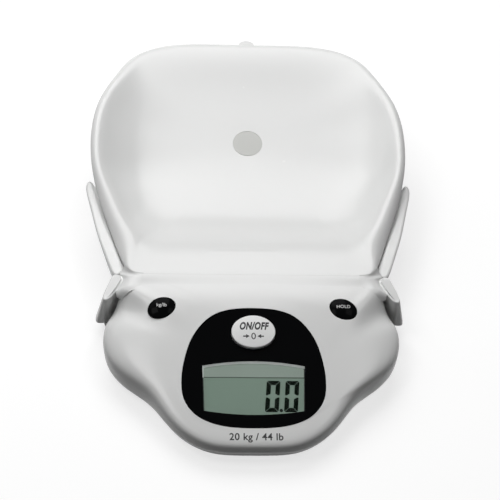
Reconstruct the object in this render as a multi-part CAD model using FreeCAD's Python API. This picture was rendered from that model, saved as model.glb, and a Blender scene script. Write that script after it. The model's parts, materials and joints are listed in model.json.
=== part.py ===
"""Digital baby weighing scale: a bear's-head console in front of a dished tray on one load cell.

Millimetres. X runs to the viewer's right, Y from the console towards the tray's back, Z up.
The outlines' own zero line is near the tray's waist. Each piece is moved back by MIDDLE_Y when it
is written, so the origin is on the floor under the middle of the bounding box.
"""
import FreeCAD, Part
import math
import os

V = FreeCAD.Vector

# ---- Driving dimensions ---------------------------------------------------------------------
WALL = 2.8                  # moulded shells
TRAY_WALL = 3.2
SEAM_GAP = 0.45             # between the weighed tray and the console
SLIP = 0.35                 # clearance round a moving button
SEAT = 0.1                  # clearance of a dropped-in piece

FOOT_HEIGHT = 5.0
FOOT_RADIUS = 11.0
FOOT_RECESS = 1.5
FOOT_FRONT = (98.0, -150.0)
FOOT_BACK = (84.0, 166.0)
PAN_FLOOR = 3.0             # thickness of the bottom housing's floor
PAN_HEIGHT = 7.0            # from the housing's underside to the parting line
DECK_TOP = 37.0
DECK_DRAFT = 4.0            # the deck's skirt spreads this much towards its foot
STOP_HEIGHT = 0.9           # overload stops on the deck
LOAD_PLATE_LIFT = 2.0       # air between deck and load plate
LOAD_PLATE_WALL = 3.0

CONSOLE_TOP = 60.0          # crown at the seam with the tray
PANEL_TILT = 14.0           # degrees, display panel against the floor
PANEL_Y = -172.5            # middle of the display panel
PANEL_Z = 43.0
KNEE = 6.0                  # how softly the crown turns into the panel's slope
CROWN_DROP = 2.0            # crown falls this much from the middle to the cheeks
CHEEK_Z = 30.0              # widest line of the cheeks
CHEEK_BAND = 25.0           # the widest line climbs to the seam over this length
MUZZLE_BAND = 100.0         # and from the muzzle's line to the cheeks' over this one
SQUARE_BAND = 20.0          # the shoulder squares up towards the seam over this length
CHEEK_POWER = 2.2           # how square the shoulder is at the cheeks, 2 being an ellipse
MUZZLE_POWER = 5.5          # the same round the muzzle
SEAM_POWER = 14.0           # and at the seam
POWER_BAND = 70.0           # the muzzle's shoulder turns into the cheeks' over this length
SEAM_EDGE = 6.0             # the shoulder's height at the seam
MUZZLE_Z = 16.0             # widest line of the muzzle
MUZZLE_FLAT = 10.7          # its line stays level this far back from the front
SEAM_Y = -78.3              # tray's front edge
ARM_TOP_Z = 50.5            # arms at the waist
ARM_SLOPE = 0.045           # arms climb towards their tips
ARM_LEAN = 7.0              # arms stand this much further out at the top
EAR_TOP_Z = 54.0
LOBE_WALL = 2.4             # arms and ears

PLUG_Y = 112.0              # tray's cap and its screw, over the load cell's loaded end
PLUG_RADIUS = 15.6
PLUG_WALL = 1.6
PLUG_RING_SLIP = 1.3        # the cap's ring stands in the cup with this clearance
PLUG_RING_WALL = 1.5
PLUG_RING_HEIGHT = 3.0
CUP_BORE = 11.5             # room for the tray screw's head under the cap
CUP_WALL = 2.6              # of the cup beyond the cap's edge
CUP_FLOOR = 3.0
FLOOR_Z = 46.0              # lowest line of the tray's floor
FLOOR_RISE = 0.27           # slope of the floor towards the back
FLOOR_BEND_Y = 75.0
FLOOR_BEND = 18.0
FRONT_RAMP = 50.0           # length of the ramp from the floor up to the front band
FRONT_BAND = 33.0           # level band between the ramp and the seam
BOWL_POWER = 4.4            # how late the floor turns up into the wall, at the back
BOWL_POWER_FRONT = 8.0      # and in front of the waist
BOWL_TURN_Y = 112.0         # the one turns into the other from here
BOWL_TURN = 130.0           # over this length
RIM_FRONT = 60.0
RIM_BACK = 92.0
RIM_SKIRT = 15.0            # depth of the rolled skirt under the rim's front
SKIRT_GAIN = 0.5            # the skirt deepens by this share of the rim's climb
SKIRT_LEAN = 4.6            # its lower edge stands this much further in than the rim
RIM_WIDTH = 9.0             # from the crest out to the rim's widest line
RIM_WIDTH_FRONT = 0.9       # the same along the seam
RIM_WAIST_GAIN = 6.4        # the rim is this much wider beside the arms
RIM_WAIST_Y = 62.0          # where it starts to widen
RIM_WAIST_RUN = 75.0        # and the length that this takes
RIM_CORNER = 38.0           # the rim narrows to the seam over this length
RIM_FALL = 0.8              # the widest line's drop below the crest, as a share of the width
RIM_FALL_MOST = 10.2
TAB_WIDTH = 17.0            # finger tab behind the rim's back
TAB_REACH = 3.6
TAB_WALL = 2.6
TAB_DROP = 2.4              # from the rim's crest down to the tab
TRAY_TRAVEL = 0.8           # full-scale travel of the weighed platform

PANEL_WALL = 3.0
FLANGE_WALL = 1.8
FLANGE_GROW = 1.4
FLANGE_DROP = 0.7           # air between the console's shell and the panel's flange
BUTTON_TRAVEL = 1.0
BUTTON_FLANGE = 1.4
FLANGE_LIP = 1.6            # a button's flange stands out this much round its crown
POWER_LENGTH = 40.0
POWER_WIDTH = 32.0
POWER_PROUD = 5.4
POWER_DOME = 1.6            # crown's rise from its edge to its middle
POWER_ROUNDING = 0.9
POWER_V = 32.3              # power button's place up the panel's slope
EYE_LENGTH = 26.0
EYE_WIDTH = 20.4
EYE_X = 84.0
EYE_Y = -116.0
EYE_TURN = 24.0
EYE_PROUD = 2.0
EYE_DOME = 2.8
EYE_ROUNDING = 0.5
EYE_DEPTH = 6.5             # from the shell's face down to the eye button's flange
EYE_BORE = 12.0             # the hole for an eye button is cut this far up and down
BOARD_DROP = 17.0           # from the panel's face to the board's face
BOARD_WALL = 1.6
BOARD_HALF_WIDTH = 62.0
BOARD_TAIL = 50.0           # half width of the board's lower end
BOARD_WING = 99.0           # half width of the strip that reaches under both eye buttons
BOARD_STEP = -27.0          # the board narrows to its tail here
BOARD_SPARE = 12.0          # tail beyond the window's lower edge
BOARD_POST_RADIUS = 3.2
BOARD_POST_BORE = 9.0
WING_LOW = 14.0             # wings' edges below and above the eye buttons' middle
WING_HIGH = 8.0
CHIP_V = -16.0              # measuring chip under its drop of resin
CHIP_HEIGHT = 3.0
CHIP_CURVE = 24.0
SWITCH_SIZE = 6.0
SWITCH_HEIGHT = 4.5
PLUNGER_RADIUS = 1.7
PLUNGER_PROUD = 0.9
STEM_RADIUS = 3.0           # of a button, above its switch
SCREEN_WIDTH = 92.0         # window over the display
SCREEN_LOW = -42.4
SCREEN_HIGH = 0.2
SCREEN_BOW = 4.6
LENS_WALL = 1.2
LENS_DROP = 0.4
GLASS_WALL = 2.4
GLASS_DROP = 1.8            # from the panel's face down to the display glass
NECK_WALL = 0.6             # of the display frame where it stands in the window
GLASS_LEDGE = 3.0           # the frame's ledges under the glass's ends
ZEBRA_WIDTH = 2.4

CELL_LENGTH = 80.0          # single point load cell
CELL_SIZE = 12.7
CELL_HOLE_PITCH = 15.0
CELL_END = 8.0              # from a hole to the cell's end
CELL_BORE = 4.6             # radius of the cell's two bores
CELL_BORE_PLACE = 8.0       # each stands this far from the cell's middle
CELL_SLOT = 4.0             # height of the slot that joins them
CELL_Z = 18.0
SPACER_WALL = 2.0
SPACER_LENGTH = 24.0
M4 = 2.0                    # thread radii
M3 = 1.5
THREAD_SLIP = 0.06
M4_HEAD = 3.6               # head radii
M3_HEAD = 2.8
HOLE_SLIP = 0.2             # a clearance hole is this much larger than its thread
SEAT_DEPTH = 1.8            # screw heads sunk into the housing's underside
PLATE_SEAT = 3.4            # screw heads sunk into the load plate's hub
PILOT_DEPTH = 14.0          # pilot holes in the covers' screw bosses
PILOT_SPARE = 2.0           # pilot left empty beyond the screw's end
BOSS_RADIUS = 4.2
BOSS_SKIN = 1.2             # a console boss ends this far under the outer skin
LOBE_BOSS_RADIUS = 3.4
PEDESTAL = 25.0             # square foot under the cell's fixed end, and hub over its free end
PLATE_WIDTH = 150.0
PLATE_LENGTH = 170.0
PLATE_CORNER = 12.0
PLATE_SLOT_LENGTH = 46.0    # lightening slots
PLATE_SLOT_WIDTH = 34.0
HUB_SPARE = 2.0             # the hub is this much longer than the pedestal at each end
HUB_WINDOW = 2.5            # air round the hub in the deck's window
STOP_INSET = 9.0            # overload stops stand this far inside the plate's edges
STOP_RADIUS = 4.0
CELL_STOP_RADIUS = 5.0      # stop under the load cell's free end
CELL_STOP_AIR = 0.5         # left under the cell at its full travel
POST_RADIUS = 4.5
POST_X = 60.0
POST_Y = 68.0               # tray posts stand this far before and behind the plate's middle

AA_RADIUS = 7.1
AA_LENGTH = 50.0
AA_COUNT = 4
AA_PITCH = 15.0
BAY_CLEAR = 2.8             # from the console's wall at the seam to the battery bay
BAY_END = 4.0               # room for the contacts at each end of the cells
BAY_WALL = 1.6
DOOR_WALL = 1.8
DOOR_SLIP = 0.1             # between the door and the housing above it
DOOR_MARGIN = 3.0           # the door and its rails reach this far past the bay
GUIDE_SLIP = 0.3            # beside the door
GUIDE_WALL = 2.0
GUIDE_LIP = 2.0             # of a rail, under the door's edge
GUIDE_LIP_WALL = 1.0
GUIDE_DROP = 1.4            # from the door down to the rails' underside
GRIP_COUNT = 5              # ridges at the door's front end
GRIP_PITCH = 2.2
GRIP_WIDTH = 24.0
GRIP_WALL = 1.0
GRIP_PROUD = 0.5
AA_NUB = 2.6                # radius of a cell's plus pole
AA_NUB_PROUD = 1.0
CONTACT_WIDTH = 13.0
CONTACT_WALL = 0.6
CONTACT_AIR = 0.05          # between a contact's tip and its cell
RIB_WALL = 1.6
RIB_PLACES_X = (-78, -52, 52, 78)
RIB_PLACES_Y = (-38, 10, 148)
LEAD_RADIUS = 1.5
LEAD_X = 45.0               # middle of the slots that the load cell's lead passes through
LEAD_SLOT_WIDTH = 12.0
LEAD_SLOT_HEIGHT = 9.0
LEAD_SLOT_REACH = 12.0      # each way from the seam, past both walls
WIRE_RADIUS = 0.7
WIRE_REACH = 6.8            # straight ends of the battery's wires

# ---- Values worked out from them ------------------------------------------------------------
PAN_BOTTOM = FOOT_HEIGHT
PAN_INNER = PAN_BOTTOM + PAN_FLOOR
PARTING = PAN_BOTTOM + PAN_HEIGHT
LOAD_PLATE_BOTTOM = DECK_TOP + LOAD_PLATE_LIFT
LOAD_PLATE_TOP = LOAD_PLATE_BOTTOM + LOAD_PLATE_WALL
SLOPE = math.tan(math.radians(PANEL_TILT))
UP = V(0, -math.sin(math.radians(PANEL_TILT)), math.cos(math.radians(PANEL_TILT)))
ALONG = V(0, math.cos(math.radians(PANEL_TILT)), math.sin(math.radians(PANEL_TILT)))
PANEL_MIDDLE = V(0, PANEL_Y, PANEL_Z)
KNEE_Y = PANEL_Y + (CONSOLE_TOP - PANEL_Z) / SLOPE
CONSOLE_Y = SEAM_Y - SEAM_GAP
CELL_TOP = CELL_Z + CELL_SIZE
CELL_BACK = PLUG_Y + CELL_HOLE_PITCH / 2 + CELL_END
CELL_FRONT = CELL_BACK - CELL_LENGTH
FIXED_Y = CELL_FRONT + CELL_END + CELL_HOLE_PITCH / 2
PLATE_Y = PLUG_Y - 30.0
BAY_HALF_X = AA_COUNT * AA_PITCH / 2 + 0.6
BAY_HALF_Y = AA_LENGTH / 2 + BAY_END
BATTERY_Y = CONSOLE_Y - WALL - BAY_CLEAR - BAY_HALF_Y
CELL_AXIS_Z = PAN_BOTTOM + 1.2 + AA_RADIUS
BAY_TOP = CELL_AXIS_Z + AA_RADIUS + 0.4
BOARD_BACK = BOARD_DROP + BOARD_WALL
FLANGE_TOP = -PANEL_WALL - FLANGE_DROP
FLANGE_BOTTOM = FLANGE_TOP - FLANGE_WALL

# ---- Outlines, each a half from the back's middle round to the front's middle ---------------
# The panel's is in its own plane, u across and v up the slope. The others are seen from above.
PANEL_HALF = [(0, 57.8), (13, 57.3), (25, 55.3), (36, 50.8), (44.5, 44), (50.5, 36.5), (55.5, 28),
              (59.2, 18.5), (61.9, 8), (63.8, -3), (64.5, -15), (63.3, -27.5), (58.8, -38),
              (50.5, -47), (39, -53.2), (26, -56.7), (13, -58.1), (0, -58.4)]

CONSOLE_HALF = [(0, CONSOLE_Y), (31, CONSOLE_Y), (62, CONSOLE_Y), (88, CONSOLE_Y),
                (102, CONSOLE_Y), (112, CONSOLE_Y - 1.6), (119, -84), (124.5, -92.5), (131, -104),
                (137, -118), (138, -137), (131, -158), (116, -175), (97.5, -190), (83, -208), (66, -228),
                (42, -242), (18, -245.5), (0, -245.7)]

TRAY_HALF = [(0, 245), (32, 245.3), (63, 244.5), (91, 240), (113, 230), (131, 213),
             (144, 187), (154.5, 162), (161.5, 137), (164.4, 110), (164, 84), (161, 58),
             (155.5, 32), (148.5, 8), (140, -16), (131, -41), (123.5, -60), (117.5, -71),
             (111, -76.6), (102, SEAM_Y), (88, SEAM_Y), (62, SEAM_Y), (31, SEAM_Y), (0, SEAM_Y)]

DECK_HALF = [(0, 203), (45, 202), (82, 191), (108, 168), (122, 137), (129, 98), (132, 60),
             (131, 25), (126, -8), (118, -38), (108, -62), (96, -75), (70, -77), (35, -77.2),
             (0, -77.2)]

PAN_HALF = [(0, 207.5), (47, 206.5), (86, 195), (113, 171), (127, 139), (136, 98), (148, 62),
            (155, 38), (152.5, 12), (145, -12), (136, -38), (129.5, -62), (131.5, -72), (139, -80),
            (142.5, -87.5), (141, -97), (137, -108), (136, -121), (136.4, -138), (129.5, -157),
            (114.5, -174), (96, -189), (81, -207), (64.5, -226.5), (41, -240.3), (18, -243.8),
            (0, -244)]

# The right arm and the right ear, each once round.
ARM_OUTLINE = [(124, -69), (130.5, -71.5), (136.5, -60.5), (143, -42), (150.5, -20), (156.5, 2),
               (161.5, 21), (165.5, 37), (166, 47), (162.5, 51.5), (158, 46), (154, 34),
               (149.5, 18), (143, -4), (136, -25), (129, -44), (124.2, -58)]

EAR_OUTLINE = [(122.5, -75.8), (130, -73.8), (133.5, -80), (135.8, -88), (138, -96.5),
               (139, -102.5), (137.3, -106), (132.6, -104.4), (128, -97.5), (124, -89.5),
               (120.8, -81.5)]
EAR_FOOT = [(127.5, -76), (133, -74.5), (141, -78), (146.5, -84), (148.5, -91), (148, -97),
            (145, -99.5), (138.5, -98.5), (133.5, -93.5), (130, -87), (127.5, -81)]

BOARD_POSTS = [(-46, 22), (46, 22), (-57, -20), (57, -20)]
CONSOLE_BOSSES = [(-112, -128), (112, -128), (-73, -199), (73, -199)]
DECK_BOSSES = [(-100, -52), (100, -52), (-92, 150), (92, 150)]
ARM_BOSSES = [(126.5, -42), (145.5, 22)]
EAR_BOSS = (135, -88)

CONSOLE_REACH = max(x for x, y in CONSOLE_HALF)
MIDDLE_Y = (TRAY_HALF[0][1] + TAB_REACH + CONSOLE_HALF[-1][1]) / 2


# ---- Curves and shells ----------------------------------------------------------------------
def mirrored(half):
    """Close a half outline: its points, then their mirror images back to the start."""
    return [V(x, y, 0) for x, y in half] + [V(-x, y, 0) for x, y in half[-2:0:-1]]


def on_side(shape, side):
    """The right-hand piece itself, or its mirror image on the left."""
    return shape if side > 0 else shape.mirror(V(0, 0, 0), V(1, 0, 0))


def poles_through(points):
    """Poles of the uniform periodic cubic that passes through the points."""
    count = len(points)
    poles = list(points)
    for _ in range(24):
        poles = [poles[i] + (points[i] - (poles[i - 1] + poles[i] * 4 + poles[(i + 1) % count]) / 6)
                 for i in range(count)]
    return poles


def skin(rows, degree=3):
    """Ring-shaped face: each row is closed and smooth, and degree 3 rounds from row to row."""
    nets = [poles_through(row) for row in rows]
    count = len(nets[0])
    poles = [[net[i] for net in nets] for i in range(count)]
    spans = len(rows) - degree
    surface = Part.BSplineSurface()
    surface.buildFromPolesMultsKnots(
        poles, [1] * (count + 1), [degree + 1] + [1] * (spans - 1) + [degree + 1],
        [float(i) for i in range(count + 1)], [float(i) for i in range(spans + 1)],
        True, False, 3, degree)
    return surface.toShape()


def ring_curve(row):
    """The closed curve that a skin has along one of its end rows."""
    curve = Part.BSplineCurve()
    curve.buildFromPolesMultsKnots(
        poles_through(row), [1] * (len(row) + 1), [float(i) for i in range(len(row) + 1)], True, 3)
    return curve.toShape()


def flat_face(row):
    """Plane face inside a closed row whose points lie in one plane."""
    return Part.Face(Part.Wire([ring_curve(row)]))


def sewn(faces):
    """Close faces that share their edges into one solid."""
    shell = Part.makeShell(faces)
    shell.sewShape()
    solid = Part.Solid(Part.Shell(shell.Faces))
    if solid.Volume < 0:
        solid.reverse()
    return solid


def hollow(outer, inner):
    """Shell between two skins that are open at both ends."""
    rims = [skin([outer[0], inner[0]], 1), skin([outer[-1], inner[-1]], 1)]
    return sewn([skin(outer), skin(inner)] + rims)


def dish_of(outer, inner):
    """Shell that is open at its first row and closed flat at its last."""
    rim = skin([outer[0], inner[0]], 1)
    return sewn([skin(outer), skin(inner), rim, flat_face(outer[-1]), flat_face(inner[-1])])


def at_height(row, z):
    return [V(p.x, p.y, z) for p in row]


def lifted(row, dz):
    return [V(p.x, p.y, p.z + dz) for p in row]


def inset(row, distance):
    """Move each point of a closed row inwards, by one distance or by one for each point."""
    count = len(row)
    area = sum(row[i - 1].x * row[i].y - row[i].x * row[i - 1].y for i in range(count))
    side = 1.0 if area > 0 else -1.0
    moved = []
    for i, point in enumerate(row):
        chord = row[(i + 1) % count] - row[i - 1]
        inwards = V(-chord.y, chord.x, 0).normalize() * side
        amount = distance[i] if isinstance(distance, list) else distance
        moved.append(point + inwards * amount)
    return moved


def between(row_a, row_b, share):
    return [a + (b - a) * share for a, b in zip(row_a, row_b)]


def soft_ramp(value, softness):
    """Zero for negative values and the value itself for positive ones, turned softly."""
    return softness * math.log1p(math.exp(value / softness))


def smooth_step(value):
    value = min(1.0, max(0.0, value))
    return value * value * (3 - 2 * value)


def box(x0, x1, y0, y1, z0, z1):
    return Part.makeBox(x1 - x0, y1 - y0, z1 - z0, V(x0, y0, z0))


def post(x, y, z0, z1, radius):
    return Part.makeCylinder(radius, z1 - z0, V(x, y, z0))


def oval(length, width, z0, z1, x=0.0, y=0.0, turn=0.0):
    """Upright oval prism."""
    ellipse = Part.Ellipse(V(0, 0, z0), length / 2, width / 2).toShape()
    prism = Part.Face(Part.Wire([ellipse])).extrude(V(0, 0, z1 - z0))
    prism.rotate(V(0, 0, 0), V(0, 0, 1), turn)
    prism.translate(V(x, y, 0))
    return prism


def levels(shape, x, y):
    """Lowest and highest point of a shape on the upright line through (x, y)."""
    inside = shape.common(Part.makeLine(V(x, y, -10), V(x, y, 300)))
    heights = [vertex.Z for vertex in inside.Vertexes]
    return min(heights), max(heights)


def group(solids):
    return Part.makeCompound(solids)


def pilot(x, y):
    """Screw hole that a boss on the housing's floor is bored with."""
    return post(x, y, PAN_INNER, PAN_INNER + PILOT_DEPTH, M3)


def screw(x, y, seat, length, radius, head, direction):
    """Pan-head screw: the head's underside is at seat, the shank points up (1) or down (-1)."""
    axis = V(0, 0, direction)
    shank = Part.makeCylinder(radius - THREAD_SLIP, length, V(x, y, seat), axis)
    cap = Part.makeCylinder(head, head * 0.55, V(x, y, seat), axis * -1)
    end = seat - direction * head * 0.55
    slot_long = box(x - head * 0.7, x + head * 0.7, y - 0.4, y + 0.4, end - 0.7, end + 0.7)
    slot_cross = box(x - 0.4, x + 0.4, y - head * 0.7, y + head * 0.7, end - 0.7, end + 0.7)
    return shank.fuse(cap).cut(slot_long).cut(slot_cross)


def lead(points, radius):
    """Round lead along straight runs joined by tangent arcs."""
    edges = []
    start = points[0]
    bends = []
    for before, corner, after in zip(points, points[1:], points[2:]):
        back = before - corner
        ahead = after - corner
        run = min(back.Length, ahead.Length)
        back.normalize()
        ahead.normalize()
        half_turn = (math.pi - back.getAngle(ahead)) / 2
        bend = 0.45 * run / math.tan(half_turn)
        inwards = (back + ahead).normalize()
        middle = corner + inwards * (bend / math.cos(half_turn) - bend)
        entry = corner + back * (0.45 * run)
        leave = corner + ahead * (0.45 * run)
        edges.append(Part.LineSegment(start, entry).toShape())
        edges.append(Part.Arc(entry, middle, leave).toShape())
        bends.append(round(bend, 1))
        start = leave
    edges.append(Part.LineSegment(start, points[-1]).toShape())
    path = Part.Wire(edges)
    ring = Part.Wire([Part.Circle(points[0], points[1] - points[0], radius).toShape()])
    print("bend radii", bends)
    return path.makePipeShell([ring], True, False)


# ---- The display panel's own frame: u to the right, v up the slope, n out of the face --------
def on_panel(shape):
    """Move a shape built on the XY plane onto the panel's plane."""
    turned = shape.copy()
    turned.rotate(V(0, 0, 0), V(1, 0, 0), PANEL_TILT)
    turned.translate(PANEL_MIDDLE)
    return turned


def panel_point(u, v, n=0.0):
    return PANEL_MIDDLE + V(u, 0, 0) + ALONG * v + UP * n


# ---- Console ----------------------------------------------------------------------------------
def console_crown(x, y):
    """Height of the console's top before its edges round off."""
    slope_part = CONSOLE_TOP - SLOPE * soft_ramp(KNEE_Y - y, KNEE)
    return slope_part - CROWN_DROP * (x / CONSOLE_REACH) ** 2


def shoulder_height(point):
    """Height at which the console's side stands upright: high at the seam, low at the muzzle."""
    from_seam = CONSOLE_Y - point.y
    if from_seam < CHEEK_BAND:
        rise = smooth_step(1 - from_seam / CHEEK_BAND)
        return CHEEK_Z + (CONSOLE_TOP - SEAM_EDGE - CHEEK_Z) * rise
    from_front = point.y - CONSOLE_HALF[-1][1] - MUZZLE_FLAT
    return MUZZLE_Z + (CHEEK_Z - MUZZLE_Z) * smooth_step(from_front / MUZZLE_BAND)


def shoulder_power(point):
    """How square the shoulder is: sharp at the seam, domed at the cheeks, firmer at the muzzle."""
    squared = smooth_step(1 - (CONSOLE_Y - point.y) / SQUARE_BAND)
    firm = smooth_step(1 - (point.y - CONSOLE_HALF[-1][1] - MUZZLE_FLAT) / POWER_BAND)
    return CHEEK_POWER + (SEAM_POWER - CHEEK_POWER) * squared + (MUZZLE_POWER - CHEEK_POWER) * firm


def console_rows(wall):
    """Rows of the console's skin; wall is 0 outside and the shell's wall inside."""
    flat = mirrored(PANEL_HALF)
    opening = [panel_point(p.x, p.y, -wall) for p in flat]
    edge = inset(mirrored(CONSOLE_HALF), wall)
    rows = [opening]
    for share in (0.1, 0.28, 0.48, 0.66, 0.81, 0.92, 0.985):
        row = []
        for start, end in zip(opening, edge):
            place = start + (V(end.x, end.y, start.z) - start) * share
            low = shoulder_height(end)
            power = shoulder_power(end)
            high = console_crown(place.x, place.y) - wall
            fall = (1 - share ** power) ** (1 / power)
            row.append(V(place.x, place.y, low + (high - low) * fall))
        rows.append(row)
    shoulder = [V(p.x, p.y, shoulder_height(p) * 0.86) for p in edge]
    foot = inset(edge, [1.2 if p.y < CONSOLE_Y - 5 else 0.0 for p in edge])
    rows.append(shoulder)
    rows.append(at_height(between(shoulder, foot, 0.6), PARTING + 2))
    rows.append(at_height(foot, PARTING))
    return rows


def console_block():
    """The console as a filled block, without its openings."""
    rows = console_rows(0.0)
    return sewn([skin(rows), flat_face(rows[0]), flat_face(rows[-1])])


CONSOLE_BLOCK = console_block()
EYE_Z = levels(CONSOLE_BLOCK, EYE_X, EYE_Y)[1]
EYE_OFFSET = V(EYE_X, EYE_Y, EYE_Z) - PANEL_MIDDLE
EYE_V = EYE_OFFSET.dot(ALONG)
EYE_N = EYE_OFFSET.dot(UP)


def console_cover():
    shell = hollow(console_rows(0.0), console_rows(WALL))
    for x, y in CONSOLE_BOSSES:
        column = post(x, y, PAN_INNER + SEAT, CONSOLE_TOP, BOSS_RADIUS)
        below_skin = CONSOLE_BLOCK.copy()
        below_skin.translate(V(0, 0, -BOSS_SKIN))
        boss = column.common(below_skin).fuse(post(x, y, PAN_INNER + SEAT, PARTING + 1, BOSS_RADIUS))
        shell = shell.fuse(boss).cut(pilot(x, y))
    for side in (-1, 1):
        hole = oval(EYE_LENGTH + 2 * SLIP, EYE_WIDTH + 2 * SLIP, EYE_N - EYE_BORE, EYE_N + EYE_BORE,
                    side * EYE_X, EYE_V, -side * EYE_TURN)
        shell = shell.cut(on_panel(hole))
    return shell.cut(lead_slot())


def lead_slot():
    """Room for the load cell's lead through the walls of console and deck."""
    half = LEAD_SLOT_WIDTH / 2
    return box(LEAD_X - half, LEAD_X + half, CONSOLE_Y - LEAD_SLOT_REACH, SEAM_Y + LEAD_SLOT_REACH,
               PARTING - 1, PARTING + LEAD_SLOT_HEIGHT)


def display_panel():
    """Glossy panel: a plate flush with the console and a wider flange glued up behind it."""
    outline = mirrored(PANEL_HALF)
    plate = flat_face(inset(outline, 2 * SEAT)).extrude(V(0, 0, FLANGE_BOTTOM))
    flange = at_height(inset(outline, -FLANGE_GROW), FLANGE_TOP)
    plate = plate.fuse(flat_face(flange).extrude(V(0, 0, -FLANGE_WALL)))
    plate = plate.cut(screen_prism(0.0, FLANGE_BOTTOM - 1, 2))
    hole = oval(POWER_LENGTH + 2 * SLIP, POWER_WIDTH + 2 * SLIP, FLANGE_BOTTOM - 1, 2, 0, POWER_V)
    plate = plate.cut(hole)
    for u, v in BOARD_POSTS:
        stand = post(u, v, -BOARD_DROP, FLANGE_BOTTOM + 1, BOARD_POST_RADIUS)
        plate = plate.fuse(stand).cut(post(u, v, -BOARD_DROP - 1, -BOARD_DROP + BOARD_POST_BORE, M3))
    return on_panel(plate)


def screen_prism(grow, z0, z1):
    """Window shape: straight sides, top and bottom edges bowed outwards."""
    half = SCREEN_WIDTH / 2 + grow
    low = SCREEN_LOW - grow
    high = SCREEN_HIGH + grow
    corners = [V(-half, high, z0), V(half, high, z0), V(half - 1.5, low, z0), V(1.5 - half, low, z0)]
    edges = [Part.Arc(corners[0], V(0, high + SCREEN_BOW, z0), corners[1]).toShape(),
             Part.LineSegment(corners[1], corners[2]).toShape(),
             Part.Arc(corners[2], V(0, low - SCREEN_BOW * 0.8, z0), corners[3]).toShape(),
             Part.LineSegment(corners[3], corners[0]).toShape()]
    return Part.Face(Part.Wire(edges)).extrude(V(0, 0, z1 - z0))


def lcd_window():
    """Clear lens that drops into the panel's window onto the neck of the display frame."""
    return on_panel(screen_prism(-SEAT, -LENS_DROP - LENS_WALL, -LENS_DROP))


def lcd_frame():
    """Black frame: its neck holds the lens up, its ledges the display glass that lies in its bore."""
    neck_top = -LENS_DROP - LENS_WALL
    shelf = FLANGE_BOTTOM - SEAT
    under_glass = -GLASS_DROP - GLASS_WALL
    half = SCREEN_WIDTH / 2 - GLASS_LEDGE
    body = screen_prism(NECK_WALL * 3, -BOARD_DROP, shelf)
    neck = screen_prism(-SEAT, shelf - 0.2, neck_top)
    bore = screen_prism(-NECK_WALL - SEAT, under_glass, neck_top + 1)
    well = screen_prism(-NECK_WALL - SEAT, -BOARD_DROP - 1, under_glass)
    well = well.common(box(-half, half, SCREEN_LOW * 2, SCREEN_HIGH + SCREEN_WIDTH, -BOARD_DROP - 1, 0))
    return on_panel(body.fuse(neck).cut(bore).cut(well))


def lcd_glass():
    return on_panel(screen_prism(-NECK_WALL - 2 * SEAT, -GLASS_DROP - GLASS_WALL, -GLASS_DROP))


def zebra_strips():
    """Rubber contact strips that carry the segments' signals from the board to the glass."""
    half = SCREEN_WIDTH / 2 - GLASS_LEDGE - 1.0
    top = -GLASS_DROP - GLASS_WALL
    strips = [box(-half, half, v - ZEBRA_WIDTH / 2, v + ZEBRA_WIDTH / 2, -BOARD_DROP, top)
              for v in (SCREEN_LOW + ZEBRA_WIDTH, SCREEN_HIGH - ZEBRA_WIDTH)]
    return on_panel(group(strips))


def main_board():
    """Circuit board under the display, with wings that reach under both eye buttons."""
    wing_low = EYE_V - WING_LOW
    tail = box(-BOARD_TAIL, BOARD_TAIL, SCREEN_LOW - BOARD_SPARE, BOARD_STEP + 1, -BOARD_WALL, 0)
    middle = box(-BOARD_HALF_WIDTH, BOARD_HALF_WIDTH, BOARD_STEP, wing_low + 1, -BOARD_WALL, 0)
    wings = box(-BOARD_WING, BOARD_WING, wing_low, EYE_V + WING_HIGH, -BOARD_WALL, 0)
    board = tail.fuse(middle).fuse(wings).removeSplitter()
    for u, v in BOARD_POSTS:
        board = board.cut(post(u, v, -BOARD_WALL - 1, 1, M3 + SEAT))
    board.translate(V(0, 0, -BOARD_DROP))
    return on_panel(board)


def board_screws():
    return on_panel(group([screw(u, v, -BOARD_BACK, 8, M3, M3_HEAD, 1) for u, v in BOARD_POSTS]))


def tact_switches():
    """Push switches on the board, one under each button's stem."""
    switches = []
    half = SWITCH_SIZE / 2
    for u, v in ((0, POWER_V), (-EYE_X, EYE_V), (EYE_X, EYE_V)):
        top = -BOARD_DROP + SWITCH_HEIGHT
        body = box(u - half, u + half, v - half, v + half, -BOARD_DROP, top - PLUNGER_PROUD)
        plunger = post(u, v, -BOARD_DROP + 1, top, PLUNGER_RADIUS)
        switches.append(body.fuse(plunger))
    return on_panel(group(switches))


def signal_chip():
    """Measuring chip on the board's underside, under its drop of black resin."""
    low = -BOARD_BACK - CHIP_HEIGHT
    ball = Part.makeSphere(CHIP_CURVE, V(0, CHIP_V, low + CHIP_CURVE))
    slab = box(-CHIP_CURVE, CHIP_CURVE, CHIP_V - CHIP_CURVE, CHIP_V + CHIP_CURVE, low, -BOARD_BACK)
    return on_panel(ball.common(slab))


def push_button(length, width, top, flange_top, dome, rounding, u, v, turn):
    """Button with a domed crown, a flange behind the cover and a stem above its switch."""
    radius = (length ** 2 / 4 + dome ** 2) / (2 * dome)
    crown = oval(length, width, flange_top - BUTTON_FLANGE / 2, top)
    crown = crown.common(Part.makeSphere(radius, V(0, 0, top - radius)))
    crown = crown.makeFillet(rounding, [edge for edge in crown.Edges if edge.BoundBox.ZMin > flange_top])
    flange = oval(length + 2 * FLANGE_LIP, width + 2 * FLANGE_LIP, flange_top - BUTTON_FLANGE, flange_top)
    stem_end = -BOARD_DROP + SWITCH_HEIGHT + BUTTON_TRAVEL + SLIP
    stem = post(0, 0, stem_end, flange_top - BUTTON_FLANGE / 2, STEM_RADIUS)
    button = crown.fuse(flange).fuse(stem)
    button.rotate(V(0, 0, 0), V(0, 0, 1), turn)
    button.translate(V(u, v, 0))
    return on_panel(button)


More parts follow.
